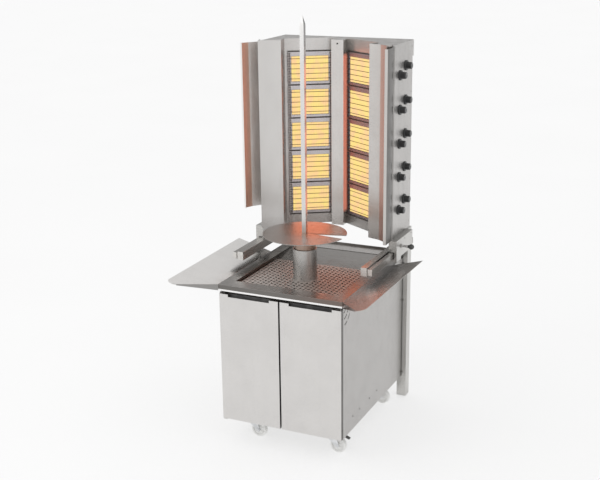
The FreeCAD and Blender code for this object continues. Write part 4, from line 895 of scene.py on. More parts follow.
@dataclass
class BurnerField:
    """Ten plaque burners with their rims, glowing plaques and wire guards, and painted shadow strips in their gaps
    and behind the guards' rungs.
    """

    rows: int = 5
    tall: float = 0.147
    rim_start: float = 0.0145
    rim_end: float = 0.2245
    rim_half: float = 0.0765
    rim_out: float = 0.0055
    case_start: float = 0.0183
    case_end: float = 0.2145
    case_deep: float = 0.045
    window_start: float = 0.029
    window_end: float = 0.208
    window_low: float = -0.0640
    window_high: float = 0.0560
    plaque_gap: float = 0.0012
    plaque_out: float = 0.001
    plaque_back: float = -0.012
    wires: int = 5
    wire_low: float = -0.0496
    wire_step: float = 0.0237
    wire_r: float = 0.0013
    wire_out: float = 0.0100
    strap: float = 0.0015
    strap_start: float = 0.0230
    strap_end: float = 0.2130
    strap_out: float = 0.0120
    notch: float = 0.0022
    rung_r: float = 0.0018
    rung_out: float = 0.0085
    rung_long: float = 0.0110
    # Depth of the painted shadow strips behind the rungs.
    shade_strip_depth: float = 0.0008
    rung_step: float = 0.01185
    rungs: int = 11

    def middles(self) -> list[float]:
        """Height of each row's middle."""
        low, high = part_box("guard_grids")
        first = low.z + self.tall / 2
        pitch = (high.z - low.z - self.tall) / (self.rows - 1)
        return [first + pitch * row for row in range(self.rows)]

    def frame_rings(self, side: int, z: float) -> list[list[Vector]]:
        """Rings from the back of a burner's case over its rim and down into its window."""
        half = self.tall / 2 - 0.0003
        edge = 0.0012
        s, e, h = self.rim_start, self.rim_end, self.rim_half
        ws, we, wl, wh = self.window_start, self.window_end, self.window_low, self.window_high
        rows = [(self.case_start, self.case_end, -half, half, -self.case_deep),
                (self.case_start, self.case_end, -half, half, 0.0004),
                (s, e, -h, h, 0.0004),
                (s, e, -h, h, self.rim_out - edge),
                (s + edge, e - edge, edge - h, h - edge, self.rim_out),
                (ws - edge, we + edge, wl - edge, wh + edge, self.rim_out),
                (ws, we, wl, wh, self.rim_out - edge),
                (ws, we, wl, wh, self.plaque_back)]
        return [[PANEL.spot(side, a, o, z + v) for a, v in ((a0, v0), (a1, v0), (a1, v1), (a0, v1))]
                for a0, a1, v0, v1, o in rows]

    def plaque_rings(self, side: int, z: float) -> list[list[Vector]]:
        """Rings of a plaque from its back to its slightly bevelled face."""
        g = self.plaque_gap
        chamfer = 0.0008
        a0, a1 = self.window_start + g, self.window_end - g
        v0, v1 = self.window_low + g, self.window_high - g
        rows = [(0.0, self.plaque_back + 0.0002), (0.0, self.plaque_out - chamfer), (chamfer, self.plaque_out)]
        return [[PANEL.spot(side, a, o, z + v) for a, v in
                 ((a0 + i, v0 + i), (a1 - i, v0 + i), (a1 - i, v1 - i), (a0 + i, v1 - i))] for i, o in rows]

    def guard_wires(self, side: int, z: float) -> Form:
        """Cross wires with turned-in ends."""
        form = Form()
        turn = 0.002
        foot = self.rim_out
        a0 = self.strap_start + self.strap + self.wire_r
        a1 = self.strap_end - self.wire_r
        for i in range(self.wires):
            level = z + self.wire_low + i * self.wire_step
            route = [(a0, foot), (a0, self.wire_out - turn), (a0 + turn, self.wire_out),
                     (a1 - turn, self.wire_out), (a1, self.wire_out - turn), (a1, foot)]
            form.tube([PANEL.spot(side, a, o, level) for a, o in route], self.wire_r)
        return form

    def guard_straps(self, side: int, z: float) -> Form:
        """Two upright straps with a notch for each cross wire."""
        form = Form()
        end = self.rim_half - 0.003
        profile = [(-end, self.rim_out), (-end, self.strap_out)]
        for i in range(self.wires):
            level = self.wire_low + i * self.wire_step
            profile += [(level - self.notch, self.strap_out), (level - self.notch, self.wire_out - self.wire_r),
                        (level + self.notch, self.wire_out - self.wire_r), (level + self.notch, self.strap_out)]
        profile += [(end, self.strap_out), (end, self.rim_out)]
        for a in (self.strap_start, self.strap_end):
            form.skin([[PANEL.spot(side, a + t, o, z + v) for v, o in profile] for t in (0.0, self.strap)])
        return form

    def comb_rungs(self, side: int, z: float) -> Form:
        """Short rungs that tie the straps to the burner's rim."""
        form = Form()
        inner, outer = self.strap_start, self.strap_end + self.strap
        for start, end in ((inner - self.rung_long, inner + 0.0004), (outer - 0.0004, outer + self.rung_long)):
            for i in range(self.rungs):
                level = z + self.wire_low + (i - 0.5) * self.rung_step
                form.tube([PANEL.spot(side, a, self.rung_out, level) for a in (start, end)], self.rung_r, 6)
        return form

    def guard_shade_strips(self, side: int, z: float) -> Form:
        """Painted shadow: near-black strips on the rim, behind the rungs, where the guard's shade falls."""
        form = Form()
        end = self.rim_half - 0.003
        inner, outer = self.strap_start, self.strap_end + self.strap
        for start, finish in ((inner - self.rung_long, inner), (outer, outer + self.rung_long)):
            corners = [(start, z - end), (finish, z - end), (finish, z + end), (start, z + end)]
            form.skin([[PANEL.spot(side, a, out, v) for a, v in corners]
                       for out in (self.rim_out + 0.0001, self.rim_out + self.shade_strip_depth)])
        return form

    def seams(self, side: int) -> Form:
        """Painted shadow: near-black strips in the gaps between the burners, and above the top one, where shade
        falls.
        """
        form = Form()
        middles = self.middles()
        pitch = middles[1] - middles[0]
        for level in [z + pitch / 2 for z in middles] + [middles[0] - pitch / 2]:
            half = pitch / 2 - self.rim_half - 0.0003
            corners = [(self.rim_start, level - half), (self.rim_end, level - half), (self.rim_end, level + half),
                       (self.rim_start, level + half)]
            form.skin([[PANEL.spot(side, a, out, v) for a, v in corners] for out in (0.0003, self.rim_out - 0.001)])
        return form

    def build(self) -> None:
        """Make every burner of both panels."""
        for side in SIDES:
            self.seams(side).piece(f"burner_gap_shadows_{SIDE_NAMES[side]}", "head", SHADOW_STRIP, "burner_steel")
            for row, z in enumerate(self.middles(), start=1):
                tag = f"{SIDE_NAMES[side]}_{row}"
                rim = FRAME_RIM if side < 0 else RIGHT_RIM
                Form().skin(self.frame_rings(side, z)).piece(f"burner_case_{tag}", "head", rim, "burner_steel",
                                                             ["plaque_burners"])
                plaque = Form().skin(self.plaque_rings(side, z)).piece(f"burner_plaque_{tag}", "head", CERAMIC,
                                                                       "ceramic", ["plaque_burners"])
                plaque.visible_glossy = False
                plaque.visible_diffuse = False
                self.guard_wires(side, z).piece(f"guard_wires_{tag}", "head", GUARD_WIRE, "guard_wire",
                                                ["guard_grids"])
                self.guard_straps(side, z).piece(f"guard_straps_{tag}", "head", GUARD_STRAP, "guard_wire",
                                                 ["guard_grids"])
                self.comb_rungs(side, z).piece(f"guard_rungs_{tag}", "head", GUARD_RUNG, "guard_wire",
                                               ["guard_grids"])
                self.guard_shade_strips(side, z).piece(f"guard_shadow_strip_{tag}", "head", GUARD_SHADE, "guard_wire",
                                                 ["guard_grids"])


# The perforated plate
@dataclass
class DripPlate:
    """Loose perforated plate round the column, with staggered round holes."""

    hole_r: float = 0.0059
    hole_sides: int = 12
    step_across: float = 0.0212
    step_deep: float = 0.0245
    columns: int = 23
    rows: int = 16
    column_gap: float = 0.0004
    column_sides: int = 72
    land: float = 0.006

    def holes(self, spit_y: float, column_r: float) -> list[Pair]:
        """Middles of the holes that lie clear of the column."""
        low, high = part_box("drip_plate")
        middle = (low.y + high.y) / 2
        found = []
        for i in range(self.columns):
            x = (i - (self.columns - 1) / 2) * self.step_across
            count = self.rows - i % 2
            for j in range(count):
                y = middle + (j - (count - 1) / 2) * self.step_deep
                if math.hypot(x, y - spit_y) > column_r + self.hole_r + self.land:
                    found.append((x, y))
        return found

    def build(self) -> None:
        """Make the plate as one holed sheet."""
        low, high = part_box("drip_plate")
        shaft_low, shaft_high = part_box("spit_bar")
        spit_y = (shaft_low.y + shaft_high.y) / 2
        bore = 0.056 + self.column_gap
        middles = self.holes(spit_y, bore)
        loops = [[(low.x, low.y), (high.x, low.y), (high.x, high.y), (low.x, high.y)]]
        loops.append(arc_points((0.0, spit_y), bore, 0.0, 360.0, self.column_sides + 1)[:-1])
        loops += [arc_points(middle, self.hole_r, 0.0, 360.0, self.hole_sides + 1)[:-1] for middle in middles]
        points, edges = [], []
        for loop in loops:
            start = len(points)
            points += [Vector(point) for point in loop]
            edges += [(start + i, start + (i + 1) % len(loop)) for i in range(len(loop))]
        flat, _, faces, *_ = delaunay_2d_cdt(points, edges, [], 1, 1e-7)
        rounds = [(Vector((0.0, spit_y)), bore)] + [(Vector(middle), self.hole_r) for middle in middles]
        form = Form()
        top = [form.mesh.verts.new((p.x, p.y, high.z)) for p in flat]
        kept = []
        for face in faces:
            centre = sum((flat[i] for i in face), Vector((0.0, 0.0))) / len(face)
            if all((centre - middle).length > radius for middle, radius in rounds):
                kept.append(form.mesh.faces.new([top[i] for i in face]))
        under = bmesh.ops.extrude_face_region(form.mesh, geom=kept)["geom"]
        drop = Vector((0.0, 0.0, low.z - high.z))
        bmesh.ops.translate(form.mesh, vec=drop, verts=[v for v in under if isinstance(v, bmesh.types.BMVert)])
        loose = [v for v in form.mesh.verts if not v.link_faces]
        bmesh.ops.delete(form.mesh, geom=loose, context="VERTS")
        form.piece("perforated_plate", "stand", PLATE, "plate_steel", ["drip_plate"])


# Knobs
@dataclass
class Knob:
    """Control knob: a skirt with a soft rim and a fluted grip with a pointer."""

    number: int
    skirt_r: float = 0.0235
    skirt: float = 0.0065
    grip_r: float = 0.0160
    length: float = 0.029
    flutes: int = 10
    flute_deep: float = 0.0011

    def build(self) -> None:
        """Make the knob in place of its node."""
        name = f"knob_{self.number:02d}"
        low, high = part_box(name)
        face = high.x - self.length
        place = stand_at((face, (low.y + high.y) / 2, (low.z + high.z) / 2), X_AXIS)
        r, s = self.skirt_r, self.skirt
        form = Form().turned([(r * 0.6, 0.0), (r, 0.0003), (r, s * 0.45), (r * 0.97, s * 0.75), (r * 0.9, s * 0.95),
                              (r * 0.72, s), (self.grip_r, s * 1.05)], place, 40)
        steps = self.flutes * 6
        levels = [(1.0, s * 0.9), (0.985, self.length * 0.78), (0.95, self.length * 0.93), (0.84, self.length)]
        rings = []
        for share, height in levels:
            ring = []
            for k in range(steps):
                angle = 2 * math.pi * k / steps
                radius = share * (self.grip_r - self.flute_deep * max(0.0, math.cos(self.flutes * angle)) ** 2)
                ring.append(place @ Vector((radius * math.cos(angle), radius * math.sin(angle), height)))
            rings.append(ring)
        form.skin(rings)
        form.turned([(0.0036, -0.019), (0.0036, 0.002), (0.0034, 0.0021)], place, 16)
        form.piece(name + "_cap", name, KNOB_BLACK, "knob_plastic", [name])
        mark = Form().box((0.004, -0.0009, self.length), (0.0115, 0.0009, self.length + 0.0002), place)
        mark.piece(name + "_pointer", name, MARK_WHITE, "knob_plastic")


# Clamp screw on the right carriage
@dataclass
class ClampHandle:
    """Clamp screw with a ball grip."""

    stem_r: float = 0.0058
    ball_r: float = 0.013
    collar_r: float = 0.0098

    def build(self) -> None:
        """Make the screw in place of its node."""
        low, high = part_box("clamp_screw")
        carriage_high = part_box("carriage_right")[1]
        y, z = (low.y + high.y) / 2, (low.z + high.z) / 2
        place = stand_at((low.x, y, z), X_AXIS)
        ball_at = high.x - low.x - self.ball_r
        wall = carriage_high.x - low.x
        ridge = 0.0005
        thread = [(self.stem_r * 0.8, 0.0)]
        for k in range(24):
            step = 0.001 + k * 0.00125
            thread.append((self.stem_r - (ridge if k % 2 else 0.0), step))
        thread += [(self.stem_r, wall + 0.008), (self.stem_r, ball_at)]
        stem = Form().turned(thread, place, 20)
        collar = self.collar_r
        stem.turned([(collar, wall + 0.0004), (collar, wall + 0.0055), (collar * 0.9, wall + 0.0064)], place, 6)
        stem.piece("clamp_stem", "clamp", SCREW, "black_plastic", ["clamp_screw"])
        start = ball_at - self.ball_r
        ball = [(self.ball_r * math.sin(math.radians(a)), ball_at - self.ball_r * math.cos(math.radians(a)))
                for a in range(4, 177, 12)]
        grip = Form().turned([(self.stem_r + 0.0014, start - 0.003), (self.stem_r + 0.0022, start)] + ball[2:],
                             place, 32)
        grip.piece("clamp_ball", "clamp", BLACK, "black_plastic", ["clamp_screw"])


# Casters
@dataclass
class Caster:
    """Swivel caster: pressed fork on its race, nylon wheel, axle bolt and, at the front, a brake pedal."""

    corner: str
    wheel_r: float = 0.038
    wheel_half: float = 0.013
    trail: float = 0.038
    leg: float = 0.003
    leg_gap: float = 0.0015

    def __post_init__(self) -> None:
        """Read the caster's place from the frame."""
        low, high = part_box("wheel_" + self.corner)
        self.axle = (low + high) / 2
        self.pin = Vector((self.axle.x - self.trail, self.axle.y, 0.0))
        self.fork_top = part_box("fork_" + self.corner)[1].z

    def wheel(self) -> None:
        """Wheel with a rounded tread, a sunk web and a hub."""
        w, r = self.wheel_half, self.wheel_r
        half = [(0.0043, w), (0.0095, w), (0.0105, w - 0.0015), (0.0125, w - 0.006), (0.0255, w - 0.0065),
                (0.0285, w - 0.002), (0.0335, w - 0.0012), (0.0362, w - 0.0026), (0.0376, w - 0.0055), (r, w - 0.009)]
        profile = half + [(a, -h) for a, h in half[::-1]]
        place = stand_at(self.axle, Y_AXIS)
        form = Form().turned(profile, place, 56, bored=True)
        for k in range(6):
            turn = Matrix.Rotation(2 * math.pi * k / 6, 4, "Z")
            for face in (w - 0.0066, 0.0066 - w - 0.0022):
                form.box((0.0125, -0.0011, face), (0.0262, 0.0011, face + 0.0022), place @ turn)
        name = "wheel_" + self.corner
        form.piece(name + "_tyre", name, NYLON, "wheel_nylon", [name])

    def fork(self) -> None:
        """Ball race, crown and two tapered legs with rolled edges."""
        inner = self.wheel_half + self.leg_gap
        top = self.fork_top
        x, ax, az = self.pin.x, self.axle.x, self.axle.z
        crown = top - 0.011
        form = Form()
        race = [(0.0062, crown - 0.003), (0.0265, crown - 0.003), (0.0278, crown), (0.0262, crown + 0.003),
                (0.0238, crown + 0.0042), (0.0262, crown + 0.0056), (0.0268, top - 0.0022), (0.0252, top - 0.0004),
                (0.0062, top - 0.0004)]
        form.turned(race, stand_at((x, self.pin.y, 0.0), Z_AXIS), 36, bored=True)
        low = crown - 0.0075
        half = inner + self.leg
        form.box((x - 0.0262, self.pin.y - half, low), (x + 0.0262, self.pin.y + half, low + 0.005))
        outline = [(x - 0.0265, low + 0.0055), (x - 0.0255, low - 0.008)]
        outline += arc_points((ax, az), 0.0102, 205.0, 340.0, 10)
        outline += [(x + 0.0315, low - 0.010), (x + 0.0265, low + 0.0055)]
        for start in (-half, inner):
            place = stand_at((0.0, self.pin.y + start + self.leg, 0.0), -Y_AXIS, X_AXIS)
            shaped = [(px, pz) for px, pz in outline]
            form.prism([(px, pz) for px, pz in shaped], self.leg, place)
        bolt = stand_at((ax, self.pin.y - half, az), -Y_AXIS)
        form.bolt(bolt, 0.0072, 0.0036)
        nut = stand_at((ax, self.pin.y + half, az), Y_AXIS)
        form.bolt(nut, 0.0072, 0.0036)
        form.turned([(0.0039, -half), (0.0039, half), (0.0036, half + 0.0001)], stand_at(self.axle, Y_AXIS), 16)
        name = "fork_" + self.corner
        form.piece(name + "_pressing", "swivel_" + self.corner, ZINC, "zinc_steel", [name], edge=0.0005)

    def brake(self) -> None:
        """Pedal with a ribbed tread on a flat arm."""
        name = "brake_" + self.corner
        low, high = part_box(name)
        y0, y1 = low.y, high.y
        place = stand_at((0.0, y1, 0.0), -Y_AXIS, X_AXIS)
        px, pz = self.pin.x + 0.018, high.z - 0.005
        tip = high.x
        arm = arc_points((px, pz), 0.0048, 110.0, 270.0, 9)
        arm += [(px + 0.008, pz - 0.0046), (tip - 0.022, low.z + 0.0068), (tip - 0.004, low.z + 0.0004),
                (tip - 0.0006, low.z + 0.0022), (tip - 0.0004, low.z + 0.006), (tip - 0.018, low.z + 0.0135),
                (px + 0.010, pz + 0.0012)]
        form = Form().prism(arm, y1 - y0, place)
        slope = math.atan2(0.0075, 0.0176)
        for k in range(5):
            rib = stand_at((tip - 0.0035 - k * 0.0033, y0, low.z + 0.0072 + k * 0.0033 * math.tan(slope)), Y_AXIS)
            form.turned([(0.0008, 0.0012), (0.0008, y1 - y0 - 0.0012), (0.0006, y1 - y0 - 0.0011)], rib, 8)
        form.piece(name + "_lever", name, PEDAL, "pedal_plastic", [name], edge=0.0004)

    def build(self) -> None:
        """Make the whole caster."""
        self.wheel()
        self.fork()
        if "front" in self.corner:
            self.brake()


# Gear motor under the tray
@dataclass
class GearMotor:
    """Gearbox with a bolted lid, and a ribbed motor with its terminal box."""

    rib_count: int = 14
    rib: float = 0.0016
    motor_r: float = 0.038

    def build(self) -> None:
        """Make the gearbox and the motor in place of the node."""
        low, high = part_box("gear_motor")
        half = (high.y - low.y) / 2
        y = (low.y + high.y) / 2
        z = (low.z + high.z) / 2
        c = 0.010
        outline = [(-half, c - half), (c - half, -half), (half - c, -half), (half, c - half),
                   (half, half - c), (half - c, half), (c - half, half), (-half, half - c)]
        case = Form()
        for bottom, top, inset in ((low.z, low.z + 0.006, 0.0), (low.z + 0.0062, high.z - 0.0072, 0.002),
                                   (high.z - 0.007, high.z, 0.0)):
            share = (half - inset) / half
            place = stand_at((0.0, y, bottom), Z_AXIS)
            case.prism([(px * share, py * share) for px, py in outline], top - bottom, place)
        for px in (-half + 0.014, half - 0.014):
            for py in (-half + 0.014, half - 0.014):
                case.bolt(stand_at((px, y + py, low.z), -Z_AXIS), 0.006, 0.004)
        case.piece("gearbox_case", "stand", ENAMEL, "motor_paint", ["gear_motor"], edge=0.001)
        axis = stand_at((half, y, z), X_AXIS)
        length = high.x - half
        core = self.motor_r - 0.004
        profile = [(self.motor_r, 0.0), (self.motor_r, 0.010), (core, 0.011)]
        pitch = (length - 0.045) / self.rib_count
        for k in range(self.rib_count):
            start = 0.013 + k * pitch
            profile += [(core, start), (self.motor_r, start + 0.0004), (self.motor_r, start + self.rib),
                        (core, start + self.rib + 0.0004)]
        cowl = length - 0.028
        profile += [(core, cowl), (self.motor_r, cowl + 0.0005), (self.motor_r, length - 0.006),
                    (self.motor_r - 0.006, length)]
        motor = Form().turned(profile, axis, 48)
        motor.box((half + 0.030, y - 0.024, z + 0.028), (half + 0.085, y + 0.024, min(z + 0.0395, high.z - 0.001)))
        motor.piece("spit_motor", "stand", ENAMEL, "motor_paint", ["gear_motor"])


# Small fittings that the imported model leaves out
@dataclass
class Slides:
    """Guide bushes in the carriages, caps on the rails' front ends and webs between their two bars."""

    bush_long: float = 0.012
    bush_wall: float = 0.0028
    gap: float = 0.0006
    bar_x: Pair = (0.331, 0.351)
    bar_z: Pair = (0.828, 0.858)
    tube_x: Pair = (0.296, 0.326)
    tube_z: Pair = (0.823, 0.863)
    cap: float = 0.0014
    web_z: Pair = (0.846, 0.8575)
    web_end: float = 0.018

    def closures(self) -> None:
        """Plates that close the carriages' front ends round the guide bars."""
        (x0, x1), (z0, z1) = self.bar_x, self.bar_z
        for side, label in SIDE_NAMES.items():
            low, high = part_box(f"carriage_{label}")
            inner, outer = sorted((abs(low.x), abs(high.x)))
            front = low.y
            form = Form()
            for a, b, c, d in ((inner + 0.0021, outer - 0.0021, z1 + 0.0028, high.z - 0.0022),
                               (inner + 0.0021, outer - 0.0021, low.z + 0.0005, z0 - 0.0028),
                               (x1 + 0.0028, outer - 0.0021, z0 - 0.0028, z1 + 0.0028)):
                first, last = sorted((side * a, side * b))
                form.box((first, front + 0.0003, c), (last, front + 0.0018, d))
            form.piece(f"carriage_front_{label}", "head", CARRIAGE, "frame_steel")

    def build(self) -> None:
        """Make the bushes in place of their node, the closing plates, the caps and the webs."""
        self.closures()
        low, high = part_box("rail_bushes")
        form = Form()
        (x0, x1), (z0, z1) = self.bar_x, self.bar_z
        g, w = self.gap, self.bush_wall
        for side in SIDES:
            for start in (low.y + 0.003, high.y - self.bush_long):
                rings = []
                for y, grow in ((start, g + w), (start + self.bush_long, g + w), (start + self.bush_long, g),
                                (start, g)):
                    rings.append([Vector((side * x, y, z)) for x, z in
                                  ((x0 - grow, z0 - grow), (x1 + grow, z0 - grow), (x1 + grow, z1 + grow),
                                   (x0 - grow, z1 + grow))])
                form.skin(rings, loop=True)
        form.piece("guide_bushes", "head", BLACK, "black_plastic", ["rail_bushes"])
        for side, label in SIDE_NAMES.items():
            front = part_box(f"rail_{label}")[0].y
            caps = Form()
            for (cx0, cx1), (cz0, cz1) in ((self.tube_x, self.tube_z), (self.bar_x, self.bar_z)):
                inner, outer = sorted((side * (cx0 + 0.0006), side * (cx1 - 0.0006)))
                caps.box((inner, front - self.cap, cz0 + 0.0006), (outer, front + 0.0002, cz1 - 0.0006))
            caps.piece(f"rail_caps_{label}", "stand", RAIL_CAP, "frame_steel", edge=0.0005)
            inner, outer = sorted((side * (self.tube_x[1] + 0.0001), side * (self.bar_x[0] - 0.0001)))
            web = Form().box((inner, front + 0.0004, self.web_z[0]), (outer, self.web_end, self.web_z[1]))
            web.piece(f"rail_web_{label}", "stand", RAIL, "frame_steel")


@dataclass
class Fittings:
    """Screws, hinge caps, seams and nuts on the cabinet, the posts, the carriages and the head, and strips of painted
    shade, shadow and highlight.
    """

    screw_r: float = 0.0042
    screw_h: float = 0.0016
    pin_rise: float = 0.0085

    def row(self, name: str, body: str, slot: str, places: Iterable[Matrix], finish: Finish = SCREW,
            radius: Optional[float] = None) -> None:
        """Make one piece of like screws."""
        form = Form()
        for place in places:
            form.screw(place, radius or self.screw_r, self.screw_h)
        form.piece(name, body, finish, slot)

    def cabinet(self) -> None:
        """Runner screws through both sides, hinge caps on the doors and screws along the back."""
        for side, label in SIDE_NAMES.items():
            low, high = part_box(f"cabinet_{label}_side")
            x = high.x if side > 0 else low.x
            out = X_AXIS * side
            rows = (0.179, 0.364, 0.550)
            columns = (-0.199, -0.115, 0.009, 0.104)
            self.row(f"runner_screws_{label}", "stand", "cabinet_steel",
                     [stand_at((x, y, z), out) for y in columns for z in rows[1:]], CABINET, 0.0036)
            self.row(f"foot_screws_{label}", "stand", "cabinet_steel",
                     [stand_at((x, y, rows[0]), out) for y in columns], DARK_SCREW, 0.0040)
            door_low, door_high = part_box(f"door_{label}")
            edge = high.x if side > 0 else low.x
            self.row(f"hinge_caps_{label}", f"{label}_door", "cabinet_steel",
                     [stand_at((edge, door_low.y + 0.0145, z), out) for z in (0.158, 0.425, 0.692)], DARK_SCREW)
        back_low, back_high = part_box("cabinet_back")
        heights = [back_low.z + 0.03 + k * (back_high.z - back_low.z - 0.06) / 4 for k in range(5)]
        self.row("back_sheet_screws", "stand", "cabinet_steel",
                 [stand_at((x, 0.452, z), Y_AXIS) for x in (-0.262, 0.262) for z in heights])

    def pulls(self) -> None:
        """Painted shade: a black strip at the back of each door's finger pull, where the recess lies in shade."""
        for side, label in SIDE_NAMES.items():
            low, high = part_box(f"door_{label}")
            inner, outer = sorted((0.050 * side, 0.254 * side))
            top = high.z - self.pin_rise
            form = Form().box((inner, low.y + 0.0166, top - 0.0116), (outer, low.y + 0.0176, top - 0.0002))
            form.piece(f"pull_liner_{label}", f"{label}_door", BLACK, "cabinet_steel")

    def gap_strips(self) -> None:
        """Painted shade: black strips in the gaps between the doors and the cabinet's sides, and seams beside the
        rear posts.
        """
        low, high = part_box("cabinet_right_side")
        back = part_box("rear_post_right")[0].y
        for side, label in SIDE_NAMES.items():
            inner, outer = sorted((side * (high.x - 0.012), side * (high.x - 0.0004)))
            door_shade = Form().box((inner, low.y - 0.0026, low.z + 0.003), (outer, low.y - 0.0002, high.z - 0.004))
            door_shade.piece(f"door_gap_shade_{label}", "stand", BLACK, "cabinet_steel")
            inner, outer = sorted((side * (high.x + 0.0004), side * (high.x + 0.0030)))
            seam = Form().box((inner, back - 0.0008, low.z), (outer, back - 0.0001, high.z))
            seam.piece(f"post_seam_{label}", "stand", DARK_SCREW, "frame_steel")

    def tray_painted_shading(self) -> None:
        """Painted highlight along the tray's front hem, a lighter copy of the tray steel on its back rim as painted
        light, and a painted shadow line where the ramp meets that rim.
        """
        low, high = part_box("tray_pan")
        hem = Form().box((low.x + 0.001, low.y - 0.0008, 0.7492), (high.x - 0.001, low.y - 0.0001, 0.7575))
        hem.piece("tray_hem_highlight", "stand", HEM_HIGHLIGHT, "tray_steel")
        form = Form().box((-0.250, 0.3566, 0.7779), (0.250, 0.3614, 0.7786))
        form.piece("tray_painted_shading", "stand", SHADOW_STRIP, "tray_steel")
        rim = Form().box((-0.303, 0.3618, 0.7780), (0.303, 0.4456, 0.7784))
        rim.piece("tray_back_rim", "stand", BACK_RIM, "tray_steel")

    def posts(self) -> None:
        """Bolts that hold each rear post to the cabinet."""
        for side, label in SIDE_NAMES.items():
            low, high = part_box(f"rear_post_{label}")
            x = (high.x if side > 0 else low.x) - side * 0.0195
            self.row(f"post_screws_{label}", "stand", "frame_steel",
                     [stand_at((x, low.y - 0.0002, z), -Y_AXIS) for z in (0.138, 0.526, 0.720)], DARK_SCREW, 0.0044)

    def head(self) -> None:
        """Screws on the head's sides, back, hood and carriages."""
        for side, label in SIDE_NAMES.items():
            low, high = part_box(f"head_{label}_side")
            x = 0.332 * side
            out = X_AXIS * side
            heights = [0.945 + k * 0.210 for k in range(5)]
            self.row(f"head_side_screws_{label}", "head", "head_steel",
                     [stand_at((x, 0.440, z), out) for z in heights], HEAD, 0.0036)
            car_low, car_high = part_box(f"carriage_{label}")
            cx = car_high.x if side > 0 else car_low.x
            self.row(f"carriage_screws_{label}", "head", "frame_steel",
                     [stand_at((cx, y, 0.904), out) for y in (0.190, 0.283, 0.376)], SCREW, 0.0044)
        hood_low, hood_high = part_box("head_top")
        self.row("hood_screws", "head", "head_steel",
                 [stand_at((x, hood_high.y, hood_high.z - 0.012), Y_AXIS) for x in (-0.31, -0.1, 0.1, 0.31)])
        self.row("head_back_screws", "head", "head_steel",
                 [stand_at((x, 0.452, z), Y_AXIS) for x in (-0.318, 0.318)
                  for z in (0.945, 1.155, 1.365, 1.575)])

    def inlet(self) -> None:
        """Lock nut and thread of the gas inlet."""
        low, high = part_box("gas_train")
        place = stand_at((0.268, 0.4523, 0.960), Y_AXIS)
        form = Form().turned([(0.0165, 0.0), (0.0165, 0.0060), (0.0150, 0.0068)], place, 6)
        profile = []
        for k in range(18):
            profile.append((0.01045 if k % 2 == 0 else 0.0110, 0.0070 + k * 0.0012))
        form.turned([(0.0090, 0.0066)] + profile + [(0.0090, 0.0292)], place, 32)
        form.piece("inlet_nut", "head", SCREW, "gas_steel")

    def leaves(self) -> None:
        """Knuckle seams on the two leaf hinges."""
        for side, label in SIDE_NAMES.items():
            low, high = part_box(f"side_leaf_{label}")
            form = Form()
            count = 6
            x = 0.3365 * side
            for k in range(1, count):
                z = low.z + (high.z - low.z) * k / count
                form.turned([(0.0034, z - 0.0006), (0.0038, z - 0.0005), (0.0038, z + 0.0005), (0.0034, z + 0.0006)],
                            stand_at((x, 0.1855, 0.0), Z_AXIS), 20)
            form.piece(f"leaf_knuckles_{label}", f"{label}_leaf", DARK_SCREW, "burner_steel")

    def column_foot(self) -> None:
        """Bolts through the column's flanged foot, under the plate."""
        low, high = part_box("column")
        y = (low.y + high.y) / 2
        form = Form()
        for x, across in arc_points((0.0, y), 0.0665, 45.0, 315.0, 4):
            form.bolt(stand_at((x, across, low.z + 0.004), Z_AXIS), 0.0055, 0.0045)
        form.piece("column_bolts", "stand", SCREW, "column_steel")

    def turntable(self) -> None:
        """Set screw in the hub, and a painted shadow along the raised lip of the disc's slot."""
        low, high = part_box("spit_disc")
        hub_r, axis_y = 0.049, -0.052
        way = Vector((math.cos(math.radians(-66)), math.sin(math.radians(-66)), 0.0))
        spot = Vector((0.0, axis_y, high.z - 0.012)) + way * (hub_r - 0.0002)
        Form().turned([(0.004, 0.0), (0.004, 0.003), (0.0032, 0.0038), (0.0018, 0.0038), (0.0018, 0.0018),
                       (0.0004, 0.0018)], stand_at(spot, way), 16).piece("hub_screw", "spit", SCREW,
                                                                         "turntable_steel")
        lip_shadow_place = Matrix.Translation((0.0, axis_y, high.z)) @ Matrix.Rotation(math.radians(11.4), 4, "Z")
        Form().box((0.012, 0.0, -0.0005), (0.190, 0.0016, 0.0004), lip_shadow_place).piece("disc_lip_shadow", "spit", SHADOW_STRIP,
                                                                              "turntable_steel")

    def build(self) -> None:
        """Make every fitting."""
        self.turntable()
        self.cabinet()
        self.pulls()
        self.gap_strips()
        self.tray_painted_shading()
        self.posts()
        self.head()
        self.inlet()
        self.leaves()
        self.column_foot()


